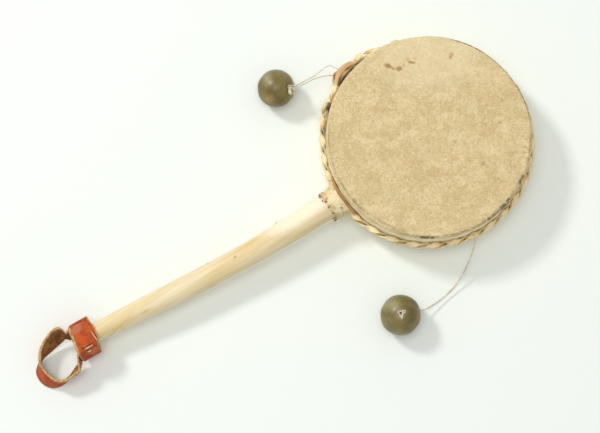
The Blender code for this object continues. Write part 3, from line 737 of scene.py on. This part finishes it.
class PelletDrumStrap(bpy.types.PropertyGroup):
    leather_light: colour_property("Leather, light", "Dyed side", tone(192, 88, 34))
    leather_dark: colour_property("Leather, dark", "Dyed side in its folds", tone(162, 58, 18))
    suede_light: colour_property("Suede, light", "Flesh side", tone(178, 122, 72))
    suede_dark: colour_property("Suede, dark", "Flesh side where grimy", tone(124, 80, 42))
    width: length_property("Strap width", "Width of the loop's strap", 0.0130)
    thickness: length_property("Strap thickness", "Thickness of the leather", 0.0020)


class PelletDrumSeeds(bpy.types.PropertyGroup):
    seed_light: colour_property("Seed, light", "Clear parts of the seeds", tone(126, 114, 66))
    seed_dark: colour_property("Seed, dark", "Dark parts of the seeds", tone(104, 88, 46))
    twine_light: colour_property("Twine, light", "Clean twine", tone(226, 218, 196))
    twine_dark: colour_property("Twine, dark", "Dirty twine", tone(188, 172, 140))
    thin_twine: length_property("Thin twine", "Diameter of the doubled string", 0.0007)
    thick_twine: length_property("Thick twine", "Diameter of the single string", 0.0010)
    rings: IntProperty(name="Seed rings", description="Rings of faces in a seed", default=56,
                       min=12, max=120)


class PelletDrumStage(bpy.types.PropertyGroup):
    floor_tone: colour_property("Floor", "Colour of the floor", (0.884, 0.925, 0.876))
    key_power: FloatProperty(name="Key light", description="Power of the large light",
                             default=26.0, min=0.0, unit="POWER")
    overhead_power: FloatProperty(name="Overhead light", default=15.0, min=0.0, unit="POWER",
                                  description="Power of the soft light above the camera")
    key_size: length_property("Key size", "Width of the large light", 0.46)
    fill: FloatProperty(name="Fill", description="Strength of the light from all round",
                        default=0.50, min=0.0)


GROUPS = (
    ("pellet_drum_hides", PelletDrumHides), ("pellet_drum_stick", PelletDrumStick),
    ("pellet_drum_strap", PelletDrumStrap), ("pellet_drum_seeds", PelletDrumSeeds),
    ("pellet_drum_stage", PelletDrumStage),
)


def hang_lamp(name, size, power, toward, distance):
    """A round lamp that hangs away from the middle of the drum's length and shines on it."""
    light = bpy.data.lights.new(name, "AREA")
    light.shape = "DISK"
    light.size = size
    light.energy = power
    lamp = bpy.data.objects.new(name, light)
    bpy.context.scene.collection.objects.link(lamp)
    toward = Vector(toward).normalized()
    lamp.location = STAGE_MIDDLE + toward * distance
    lamp.rotation_euler = (-toward).to_track_quat("-Z", "Y").to_euler()


class PELLETDRUM_OT_stage(bpy.types.Operator):
    """Sets the floor, the soft light and the camera above the drum"""
    bl_idname = "pelletdrum.stage"
    bl_label = "Stage"

    def execute(self, context):
        settings = context.scene.pellet_drum_stage
        scene = context.scene
        scene.view_settings.view_transform = "Standard"
        camera = bpy.data.objects.new("camera", bpy.data.cameras.new("camera"))
        scene.collection.objects.link(camera)
        camera.location = CAMERA_PLACE
        aim = CAMERA_AIM - CAMERA_PLACE
        camera.rotation_euler = aim.to_track_quat("-Z", "Y").to_euler()
        camera.data.lens = CAMERA_LENS
        camera.data.sensor_width = 36.0
        camera.data.dof.use_dof = False
        scene.camera = camera
        mesh = bmesh.new()
        bmesh.ops.create_grid(mesh, x_segments=12, y_segments=12, size=2.5)
        made, tree, place = blank_material("pale floor", 0.9, 0.1)
        shade = blend(tree, cloud(tree, place, 3, 2), settings.floor_tone,
                      [value * 0.99 for value in settings.floor_tone])
        finish_mesh("floor", mesh, [finished(made, shade)])
        hang_lamp("key", settings.key_size, settings.key_power, (-0.258, 0.65, 0.715), 2.6)
        hang_lamp("overhead", 1.2, settings.overhead_power, (-0.08, 0.02, 1.0), 2.2)
        world = bpy.data.worlds.new("soft surround")
        world.use_nodes = True
        back = world.node_tree.nodes["Background"]
        back.inputs["Color"].default_value = (1.0, 1.0, 1.0, 1.0)
        back.inputs["Strength"].default_value = settings.fill
        scene.world = world
        return {"FINISHED"}


def near_stitch(angle):
    """How many stitches round an angle in degrees is, with whole numbers at the bites."""
    spots = STITCHES + (STITCHES[0] + 360,)
    turned = (angle - spots[0]) % 360 + spots[0]
    for i, (low, high) in enumerate(zip(spots, spots[1:])):
        if low <= turned <= high:
            return i + (turned - low) / (high - low)
    return 0.0


def head_rings(front, settings):
    """The rings of one head: its outer face, its turned-down side, its hem and its inside."""
    outer = [(SIDE * share, TOP) for share in
             (0.0, 0.06, 0.13, 0.2, 0.27, 0.34, 0.41, 0.48, 0.55, 0.61, 0.67, 0.73, 0.78,
              0.83, 0.87, 0.905, 0.932)]
    for i in range(11):
        angle = radians(90 - 9 * i)
        outer.append((SIDE - EDGE_ROUND + EDGE_ROUND * cos(angle),
                      TOP - EDGE_ROUND + EDGE_ROUND * sin(angle)))
    straight = TOP - EDGE_ROUND
    for i in range(1, 9):
        outer.append((SIDE, straight + (HEM - straight) * (i / 8)))
    inner = [(SIDE - HIDE * 0.5, HEM - 0.00008)]
    for radius, height in reversed(outer[:-1]):
        far = max(radius - HIDE * ease(0.93 * SIDE, SIDE, radius), 0.0)
        inner.append((far, min(height, TOP - HIDE)))

    def shape(radius, angle, height):
        spin = degrees(angle)
        place = Vector((radius * cos(angle), radius * sin(angle), height))
        wave = settings.wave * (lumps(place, 0.022, 1.7) - 0.6)
        wave *= ease(SIDE, SIDE * 0.9, radius)
        bite = near_stitch(spin)
        pull = abs(bite - floor(bite) - 0.5) * 2
        low = ease(straight, HEM, height)
        rise = 0.0011 * (1 - pull) * low
        fold = settings.pucker * lumps((spin * 0.4, 0, 3), 1.0, 5.0)
        fold *= ease(0.050, 0.0645, radius)
        reach = radius
        if radius > 0.06:
            reach += 0.00035 * lumps((cos(angle) * 3, sin(angle) * 3, 1), 1.0, 2.2)
            reach -= 0.0004 * (1 - pull) * low
        z = height + wave - abs(fold) + rise
        if front:
            z += FRONT_RISE * ease(HEM, TOP, height)
        else:
            z = max(TOP - z, 0.0)
        return Vector((reach * cos(angle), reach * sin(angle), z))

    return turned_rings(outer + inner, 240, shape)


class PELLETDRUM_OT_heads(bpy.types.Operator):
    """Stretches the two hide heads over the hoop"""
    bl_idname = "pelletdrum.heads"
    bl_label = "Heads"

    def execute(self, context):
        settings = context.scene.pellet_drum_hides
        finish = hide_finish("stretched hide", settings, HEAD_SPOTS, RIM_ARCS)
        # The back head takes two of the rim's marks, a painted shade line and a dark dash.
        plain = hide_finish("stretched hide, back", settings, (), RIM_ARCS[3:5])
        for node, front, made in (("front_head", True, finish), ("back_head", False, plain)):
            piece = skin(node + "_hide", head_rings(front, settings), [made], sharp=70)
            cut_away(piece, rod_cutter((-0.090, NECK_Y, MIDDLE), (-0.0495, NECK_Y, MIDDLE),
                                       NECK_BORE))
            dress(piece, node)
        return {"FINISHED"}


class PELLETDRUM_OT_hoop(bpy.types.Operator):
    """Finishes the wooden hoop that is hidden between the heads"""
    bl_idname = "pelletdrum.hoop"
    bl_label = "Hoop"

    def execute(self, context):
        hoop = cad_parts["frame_hoop"]
        hoop.data.materials.clear()
        hoop.data.materials.append(wood_finish("bent hoop wood", tone(196, 160, 108),
                                               tone(172, 130, 80), (132, 92, 52), 0.7))
        return {"FINISHED"}


def flat_oval(middle, wide_way, thick_way, wide, thick, steps=16):
    """A ribbon's cross-section: an oval with flattened faces."""
    ring = []
    for turn in around(steps):
        along, across = (abs(share) ** 0.75 * (1 if share > 0 else -1)
                         for share in (cos(turn), sin(turn)))
        ring.append(middle + wide_way * (along * wide / 2) + thick_way * (across * thick / 2))
    return ring


def bow_of_knot(angle):
    """How far the lace bulges out round its knot, at an angle in degrees."""
    turned = angle % 360
    for (low, start), (high, end) in zip(LACE_BOW, LACE_BOW[1:]):
        if low <= turned < high:
            return start + (end - start) * ease(low, high, turned)
    return 0.0


class PELLETDRUM_OT_lace(bpy.types.Operator):
    """Winds the two strands of hide thong round the seam and ties off their end"""
    bl_idname = "pelletdrum.lace"
    bl_label = "Lace"

    def execute(self, context):
        settings = context.scene.pellet_drum_hides
        finish = thong_finish(settings)
        for strand, name in enumerate(("lace_strand_a", "lace_strand_b")):
            rings = [self.strand_ring(LACE_START + LACE_SWEEP * i / LACE_STEPS, strand, settings)
                     for i in range(LACE_STEPS + 1)]
            piece = skin(name, rings, [finish], sharp=80)
            dress(piece, None if strand else "edge_lace")
        rings = []
        for i in range(121):
            angle = 66 + 85 * i / 120
            bow = bow_of_knot(angle)
            centre = outward(angle) * (0.0678 + 0.42 * bow) + UP * (MIDDLE - 0.0012)
            rings.append(flat_oval(centre, outward(angle), UP, 0.0018 + 0.75 * bow, 0.0022))
        dress(skin("lace_strip", rings, [finish], sharp=80))
        self.tuck("lace_pad", (92, 119), 0.0704, 0.0050, MIDDLE - 0.0008, finish)
        self.tuck("lace_tail", (100, 118.5), 0.0738, 0.0040, MIDDLE + 0.0028, finish)
        return {"FINISHED"}

    def strand_ring(self, angle, strand, settings):
        """One cross-section of a strand, which lies flat on top between two bites."""
        spin = radians(angle)
        out_way = outward(angle)
        twist = pi * near_stitch(angle) + pi * strand
        wander = lumps((cos(spin) * 6, sin(spin) * 6, strand * 4), 1.0, 5.5)
        out = LACE_RADIUS + 0.00090 * cos(twist) + 0.00022 * wander
        out += bow_of_knot(angle) * (0.35 if strand else 1.0)
        up = 0.0026 * sin(twist)
        centre = out_way * out + UP * (MIDDLE + up)
        wide_way = out_way * (-sin(twist) + 0.36 * cos(twist) ** 2)
        wide_way = (wide_way + UP * cos(twist)).normalized()
        thick_way = UP.cross(out_way).cross(wide_way).normalized()
        swell = 1.0 + 0.12 * lumps((angle * 0.12, strand * 5, 0), 1.0, 8.0)
        wide = settings.strand_width * (swell - 0.05 * cos(2 * twist))
        return flat_oval(centre, wide_way, thick_way, wide, settings.strand_thickness * swell)

    def tuck(self, name, arc, radius, width, height, finish):
        """A flattened end of the thong, laid along the knot's bulge between two angles."""
        rings = []
        for i in range(61):
            share = i / 60
            out_way = outward(arc[0] + (arc[1] - arc[0]) * share)
            swell = 0.22 + 0.78 * sin(pi * share) ** 0.5
            uneven = 1 + 0.12 * lumps((share * 6, radius * 90, 2), 1.0, 2.0)
            centre = out_way * (0.0668 + (radius - 0.0668) * swell)
            centre.z = height + 0.0005 * lumps((share * 5, 1, 2), 1.0, 2.0)
            rings.append(flat_oval(centre, out_way, UP, width * swell * uneven,
                                   0.0034 * swell * uneven))
        dress(skin(name, rings, [finish], sharp=80))


class PELLETDRUM_OT_neck_wrap(bpy.types.Operator):
    """Binds rawhide over the neck of the stick and stitches its end"""
    bl_idname = "pelletdrum.neck_wrap"
    bl_label = "Neck wrap"

    def execute(self, context):
        rows, steps = 44, 96
        outer = []
        for i in range(rows + 1):
            share = i / rows
            ring = []
            for turn in around(steps):
                over = ease(0.40, 0.80, sin(turn)) * ease(0.78, 0.90, share)
                flare = 0.0026 * ease(0.40, 1.0, share) * (1 - over)
                wing = 0.0022 * ease(0.6, 1.0, share) * abs(cos(turn)) ** 3
                lift = 0.00035 + 0.0010 * ease(0.0, 0.12, share) * (1 - over)
                rough_place = (share * 9, cos(turn) * 4, sin(turn) * 4)
                lump = 0.00055 * lumps(rough_place, 1.0, 4.4)
                lump += 0.00035 * lumps(rough_place, 0.4, 6.1)
                reach = NECK_BORE + lift + flare + wing
                reach += lump * ease(0.0, 0.2, share) * (1 - over)
                y, z = self.at(turn, reach)
                near = -sqrt(SIDE ** 2 - min(y * y, SIDE ** 2 * 0.9)) - 0.0003
                ragged = 0.0011 * lumps((cos(turn) * 2, sin(turn) * 2, 0), 1.0, 9.3)
                far = -0.0790 + ragged + 0.0022 * ease(0.3, 1.0, 0.5 - 0.5 * cos(turn))
                ring.append(Vector((far + (near - far) * share, y, z)))
            outer.append(ring)
        inner = []
        for ring in (outer[-1], outer[0]):
            inner.append([Vector((point.x, *self.at(turn, NECK_BORE)))
                          for point, turn in zip(ring, around(steps))])
        wrap = skin("neck_wrap_hide", outer + inner, [wrap_finish()], closed=True, sharp=70)
        dress(wrap, "neck_wrap")
        self.make_stitches()
        return {"FINISHED"}

    def at(self, turn, reach):
        """Y and Z at a turn and a distance from the hole's axis."""
        return NECK_Y + reach * cos(turn), MIDDLE + reach * sin(turn)

    def make_stitches(self):
        """Short dark bites of thread that gather the wrap's end, seen all round it."""
        stitch = plain_finish("dark stitch", (0.7, 0.2), ((1400, 3),), tone(96, 62, 34),
                              tone(150, 112, 66), (4000, 3), (0.5, 0.0003))
        bites = [(-0.0773, 29), (-0.0795, 35), (-0.0799, 46), (-0.0798, 67), (-0.0784, 77),
                 (-0.0785, 100), (-0.0779, 129), (-0.0786, 155)]
        bites += [(-0.0785 + 0.0012 * (k % 2), 180 + 21 * k) for k in range(9)]
        for k, (x, turn) in enumerate(bites):
            angle = radians(turn)
            length = 0.0010 + 0.0003 * (k % 3)
            points = []
            for j in range(5):
                share = j / 4 - 0.5
                lift = 0.0002 - 0.0016 * share * share
                swing = angle + share * 0.07 * (-1 if k % 2 else 1)
                points.append((x + length * share, *self.at(swing, NECK_BORE + 0.0012 + lift)))
            thread, _, _ = twine_tube("neck_stitch_%02d" % (k + 1), points, 0.0008, 0.002,
                                      [stitch], 8)
            dress(thread)


class PELLETDRUM_OT_stick(bpy.types.Operator):
    """Shapes the crooked peeled stick"""
    bl_idname = "pelletdrum.stick"
    bl_label = "Stick"

    def execute(self, context):
        settings = context.scene.pellet_drum_stick
        finish = wood_finish("peeled stick wood", settings.wood_light, settings.wood_dark,
                             (214, 182, 118), 0.5, STICK_SPOTS)
        rings = []
        samples, steps = 240, 56
        for i in range(samples + 1):
            share = i / samples
            x, y, z, thick = smooth_through(STICK, share)
            free = ease(0.12, 0.2, share) * ease(0.95, 0.9, share)
            ring = []
            for turn in around(steps):
                spot_place = (x * 22, cos(turn) * 1.1, sin(turn) * 1.1)
                reach = thick / 2 - 0.00012
                reach += settings.facet * lumps(spot_place, 1.0, 3.3) * free
                reach += 0.00010 * lumps((x * 60, cos(turn) * 5, sin(turn) * 5), 1.0, 6.6) * free
                ring.append(Vector((x, y + reach * cos(turn), z + reach * sin(turn))))
            rings.append(ring)
        for end in (0, -1):
            middle = sum(rings[end], Vector()) / steps
            shift = 0.0005 if end == 0 else -0.0005
            small = [middle + (p - middle) * 0.93 + Vector((shift, 0, 0)) for p in rings[end]]
            rings = [small] + rings if end == 0 else rings + [small]
        dress(skin("stick_wood", rings, [finish], sharp=60), "handle")
        twig = []
        root = Vector((-0.1135, 0.0034, 0.0205))
        for i in range(6):
            share = i / 5
            width = 0.0011 * (1 - 0.6 * share)
            centre = root + Vector((0.0026, 0.0010, 0.0004)) * share
            twig.append([centre + Vector((-0.3, cos(a), sin(a))) * width * (0.8 + 0.2 * cos(3 * a))
                         for a in around(12)])
        dress(skin("twig_stub", twig, [finish], sharp=60))
        return {"FINISHED"}


def strap_outline(width, thickness, slope=0.0):
    """A strap's cross-section: its face, edge, back and edge, each point out and along."""
    half, wide = thickness / 2, width / 2
    bevel = 0.22 * thickness
    return (
        (half, -wide + bevel + slope), (half, -wide * 0.45), (half, 0.0), (half, wide * 0.45),
        (half, wide - bevel), (half - bevel, wide), (0.0, wide), (bevel - half, wide),
        (-half, wide - bevel), (-half, wide * 0.45), (-half, 0.0), (-half, -wide * 0.45),
        (-half, -wide + bevel), (bevel - half, -wide), (0.0, -wide + slope * 0.35),
        (half - bevel, -wide + slope * 0.75),
    )


STRAP_FACES = (0, 0, 0, 0, 2, 2, 2, 2, 1, 1, 1, 1, 2, 2, 2, 2)


def rolled(sideways, upward):
    """A step across the stick, turned with the collar."""
    across = Vector((0.0, cos(COLLAR_ROLL), -sin(COLLAR_ROLL)))
    up = Vector((0.0, sin(COLLAR_ROLL), cos(COLLAR_ROLL)))
    return across * sideways + up * upward


def collar_place(along, sideways, upward):
    """A place on the collar, whose side toward +Y sits nearer the drum."""
    offset = rolled(sideways, upward)
    centre = COLLAR_BACK + COLLAR_SET_BACK + COLLAR_WIDTH / 2
    return Vector((centre + along + COLLAR_SKEW * offset.y, STRAP_TIP.y + offset.y,
                   STRAP_TIP.z + offset.z))


def loop_frames(thickness):
    """The strap's course: place, width share and two directions, eased at turns."""
    aside = STICK_END_HALF + GAP + thickness / 2
    exits = []
    for side in (1, -1):
        at = STRAP_TIP + Vector((-0.0009, 0, 0)) + rolled(side * aside, 0.0)
        exits.append((at.x, at.y, at.z, 22 if side == 1 else 3, 0.86))
    loop = [(COLLAR_BACK - LOOP_REACH * reach, STRAP_TIP.y + LOOP_HALF_WIDTH * across,
             STRAP_TIP.z - LOOP_DROP * drop, lean, 1.0)
            for reach, across, drop, lean in LOOP_COURSE]
    stations = [exits[0]] + loop + [exits[1]]
    samples = [smooth_through(stations, i / LOOP_STEPS) for i in range(LOOP_STEPS + 1)]
    ways = [Vector((-1.0, 0.0, 0.0))]
    for before, after in zip(samples, samples[2:]):
        ways.append((Vector(after[:3]) - Vector(before[:3])).normalized())
    ways.append(Vector((1.0, 0.0, 0.0)))
    for _ in range(4):
        eased = [(a + b * 2 + c).normalized() for a, b, c in zip(ways, ways[1:], ways[2:])]
        ways = [ways[0]] + eased + [ways[-1]]
    frames = []
    for (x, y, z, lean, width), way in zip(samples, ways):
        level = way.cross(UP).normalized()
        upright = level.cross(way).normalized()
        tilt = radians(lean)
        width_way = upright * cos(tilt) + level * sin(tilt)
        face_way = level * cos(tilt) - upright * sin(tilt)
        frames.append((x, y, z, width, *width_way, *face_way))
    return frames


class PELLETDRUM_OT_strap(bpy.types.Operator):
    """Bends the leather wrist loop from one side of the stick's end to the other"""
    bl_idname = "pelletdrum.strap"
    bl_label = "Wrist loop"

    def execute(self, context):
        settings = context.scene.pellet_drum_strap
        frames = loop_frames(settings.thickness)
        rings = []
        count = LOOP_STEPS * LOOP_FINER
        for i in range(count + 1):
            found = smooth_through(frames, i / count)
            middle, width = Vector(found[:3]), found[3]
            width_way = Vector(found[4:7]).normalized()
            face_way = Vector(found[7:]).normalized()
            ring = []
            for out, along in strap_outline(settings.width * width, settings.thickness):
                point = middle + face_way * out + width_way * along
                ring.append(point + face_way * (0.00009 * lumps(point, 0.0028, 2.0)))
            rings.append(ring)
        held = Vector((HELD_END, 0.0, 0.0))
        rings = [[p + held for p in rings[0]]] + rings + [[p + held for p in rings[-1]]]
        finishes = [leather_face_finish("dyed leather", settings),
                    leather_back_finish(settings),
                    plain_finish("cut leather edge", (0.8, 0.2), ((500, 4, 0.6), (0.38, 0.64)),
                                 tone(206, 176, 124), tone(168, 126, 78), (2600, 4, 0.6),
                                 (0.5, 0.0004))]
        piece = skin("wrist_loop_leather", rings, finishes, finish_of=STRAP_FACES, sharp=60)
        dress(piece, "wrist_loop")
        finishes[0] = leather_face_finish("dyed leather, collar", settings, COLLAR_SPOTS)
        self.make_collar(settings, finishes)
        return {"FINISHED"}

    def make_collar(self, settings, finishes):
        """The band bent round the stick and the strap's ends, its back edge cut on the slope."""
        thick = settings.thickness
        across = STICK_END_HALF + GAP + thick + GAP + thick / 2
        high = STICK_END_HALF + GAP + thick / 2
        corner = 0.0022
        course = []
        for side, rise, start in ((1, 1, 0), (-1, 1, 90), (-1, -1, 180), (1, -1, 270)):
            for j in range(9):
                angle = radians(start + 11.25 * j)
                course.append((side * (across - corner) + corner * cos(angle),
                               rise * (high - corner) + corner * sin(angle), angle))
        rings = []
        for low, after in zip(course, course[1:] + course[:1]):
            length = hypot(after[0] - low[0], after[1] - low[1])
            parts = max(int(length / 0.0010), 1)
            for j in range(parts):
                share = j / parts
                turn = low[2]
                sideways = low[0] + (after[0] - low[0]) * share
                upward = low[1] + (after[1] - low[1]) * share
                ring = []
                bulge = ease(-0.0115, -0.0050, sideways) * ease(0.0090, 0.0010, sideways)
                bulge *= 0.0019 * ease(0.0, 0.0070, upward)
                for out, along in strap_outline(COLLAR_WIDTH, thick * 0.97, 0.0013):
                    point = collar_place(along + bulge * ease(0.0, 0.0060, along),
                                         sideways + out * cos(turn), upward + out * sin(turn))
                    out_way = rolled(cos(turn), sin(turn))
                    ring.append(point + out_way * (0.00012 * lumps(point, 0.0035, 7.0)))
                rings.append(ring)
        piece = skin("strap_collar_leather", rings, finishes, closed=True,
                     finish_of=STRAP_FACES, sharp=60)
        dress(piece, "strap_collar")


class PELLETDRUM_OT_pellets(bpy.types.Operator):
    """Rounds the two seeds and bores them for the twine"""
    bl_idname = "pelletdrum.pellets"
    bl_label = "Pellets"

    def execute(self, context):
        settings = context.scene.pellet_drum_seeds
        for node, radius, centre, bores, offset, marks in SEEDS:
            mesh = bmesh.new()
            bmesh.ops.create_uvsphere(mesh, u_segments=settings.rings * 2,
                                      v_segments=settings.rings, radius=radius)
            ways = [Vector(way).normalized() for way, _, _ in bores]
            for vertex in mesh.verts:
                way = vertex.co.normalized()
                rib = 0.008 * cos(6 * (way.x + way.y)) * (1 - way.z ** 2)
                lop = 0.020 * way.x * way.y - 0.012 * way.y * way.z
                dent = sum(0.028 * ease(0.955, 0.995, way.dot(bore)) for bore in ways)
                grown = 0.004 * lumps(way * 2.2, 1.0, 1.5)
                spot_at = vertex.co * (1 + rib + lop + grown - dent) + centre
                spot_at.z = max(spot_at.z, 0.0)
                vertex.co = spot_at
            coat = seed_finish(node + " coat", settings, offset, marks)
            piece = finish_mesh(node + "_seed", mesh, [coat], 60)
            for way, (_, start, bore_radius) in zip(ways, bores):
                cut_away(piece, rod_cutter(centre + way * start * radius * 1.4,
                                           centre + way * radius * 1.4, bore_radius))
            dress(piece, node)
        return {"FINISHED"}


class PELLETDRUM_OT_twine(bpy.types.Operator):
    """Lays the twine from the lace to the seeds and ties its knots"""
    bl_idname = "pelletdrum.twine"
    bl_label = "Twine and knots"

    def execute(self, context):
        settings = context.scene.pellet_drum_seeds
        finish = plain_finish("cotton twine", (0.95, 0.1), ((260, 4), (0.4, 0.66)),
                              settings.twine_light, settings.twine_dark, (6000, 3),
                              (0.5, 0.0002))
        shader = finish.node_tree.nodes["Principled BSDF"]
        shader.inputs["Sheen Weight"].default_value = 0.3
        strings = (
            ("string_1_upper", STRING_1_UPPER_ROUTE, settings.thin_twine, 0.0022),
            ("string_1_lower", STRING_1_LOWER_ROUTE, settings.thin_twine, 0.0022),
            ("string_2", STRING_2_ROUTE, settings.thick_twine, 0.0030),
        )
        for node, route, thick, pitch in strings:
            piece, path, length = twine_tube(node + "_twine", route, thick, pitch, [finish])
            dress(piece, node)
            tuple(route[0])
            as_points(path)
        self.make_knots(finish)
        self.make_stitches()
        return {"FINISHED"}

    def make_knots(self, finish):
        """A turn of twine round the doubled string, and a tied lump on the second seed."""
        ball = SEEDS[0][2]
        facing = Vector((0.53, -0.60, 0.60)).normalized()
        across = facing.cross(UP).normalized()
        up = across.cross(facing)
        points = []
        for i in range(64):
            share = i / 63
            angle = 2 * pi * 2.6 * share + 0.5
            reach = 0.0020 + 0.0004 * sin(3.1 * angle)
            points.append(ball + facing * (0.0131 + 0.0014 * share + 0.0004 * sin(2 * angle))
                          + across * (cos(angle) * reach * 0.9 + 0.0002)
                          + up * (sin(angle) * reach * 1.15))
        ring, _, _ = twine_tube("knot_1_turns", points, 0.0014, 0.003, [finish])
        dress(ring, "knot_1")
        low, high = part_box("knot_2")
        middle = (low + high) / 2 + Vector((-0.0002, 0.0, 0.0002))
        turns = []
        for i in range(48):
            angle = 2 * pi * i / 47
            lobe = 1 + 0.35 * cos(3 * angle)
            turns.append(middle + Vector((0.0019 * cos(angle) * lobe, 0.0014 * sin(angle) * lobe,
                                          0.00045 * sin(3 * angle))))
        lump, _, _ = twine_tube("knot_2_turns", turns, 0.0012, 0.003, [finish])
        dress(lump, "knot_2")
        tail_route = [middle + Vector(step) for step in
                      ((0.0016, 0.0012, 0.0004), (0.0005, -0.0004, 0.0009),
                       (-0.0008, -0.0020, 0.0006), (-0.0016, -0.0034, -0.0001))]
        tail, _, _ = twine_tube("knot_2_tail", tail_route, 0.0012, 0.003, [finish])
        dress(tail)

    def make_stitches(self):
        """Finishes the two bites of thread in the collar."""
        thread = plain_finish("collar thread", (0.9, 0.1), ((900, 4), (0.42, 0.60)),
                              tone(206, 198, 158), tone(146, 128, 92), (3000, 3),
                              (0.8, 0.0004))
        for node in ("collar_stitch_1", "collar_stitch_2"):
            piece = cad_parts[node]
            piece.data.materials.clear()
            piece.data.materials.append(thread)


class PELLETDRUM_PT_panel(bpy.types.Panel):
    """Lists the drum's pieces and their settings"""
    bl_idname = "PELLETDRUM_PT_panel"
    bl_label = "Pellet drum"
    bl_space_type = "VIEW_3D"
    bl_region_type = "UI"
    bl_category = "Pellet drum"

    def draw(self, context):
        layout = self.layout
        for operator in OPERATORS:
            layout.operator(operator.bl_idname)
        for attribute, group in GROUPS:
            box = layout.box()
            box.label(text=attribute.replace("pellet_drum_", "").capitalize())
            for name in group.__annotations__:
                box.prop(getattr(context.scene, attribute), name)


OPERATORS = (
    PELLETDRUM_OT_stage, PELLETDRUM_OT_twine, PELLETDRUM_OT_heads, PELLETDRUM_OT_hoop,
    PELLETDRUM_OT_lace, PELLETDRUM_OT_neck_wrap, PELLETDRUM_OT_stick, PELLETDRUM_OT_strap,
    PELLETDRUM_OT_pellets,
)


def register():
    for attribute, group in GROUPS:
        bpy.utils.register_class(group)
        setattr(bpy.types.Scene, attribute, PointerProperty(type=group))
    for shown in OPERATORS + (PELLETDRUM_PT_panel,):
        bpy.utils.register_class(shown)


def unregister():
    for shown in reversed(OPERATORS + (PELLETDRUM_PT_panel,)):
        bpy.utils.unregister_class(shown)
    for attribute, group in reversed(GROUPS):
        delattr(bpy.types.Scene, attribute)
        bpy.utils.unregister_class(group)


def main():
    register()
    bpy.ops.pelletdrum.stage()
    bpy.ops.pelletdrum.twine()
    bpy.ops.pelletdrum.heads()
    bpy.ops.pelletdrum.hoop()
    bpy.ops.pelletdrum.lace()
    bpy.ops.pelletdrum.neck_wrap()
    bpy.ops.pelletdrum.stick()
    bpy.ops.pelletdrum.strap()
    bpy.ops.pelletdrum.pellets()


if __name__ == "__main__":
    main()
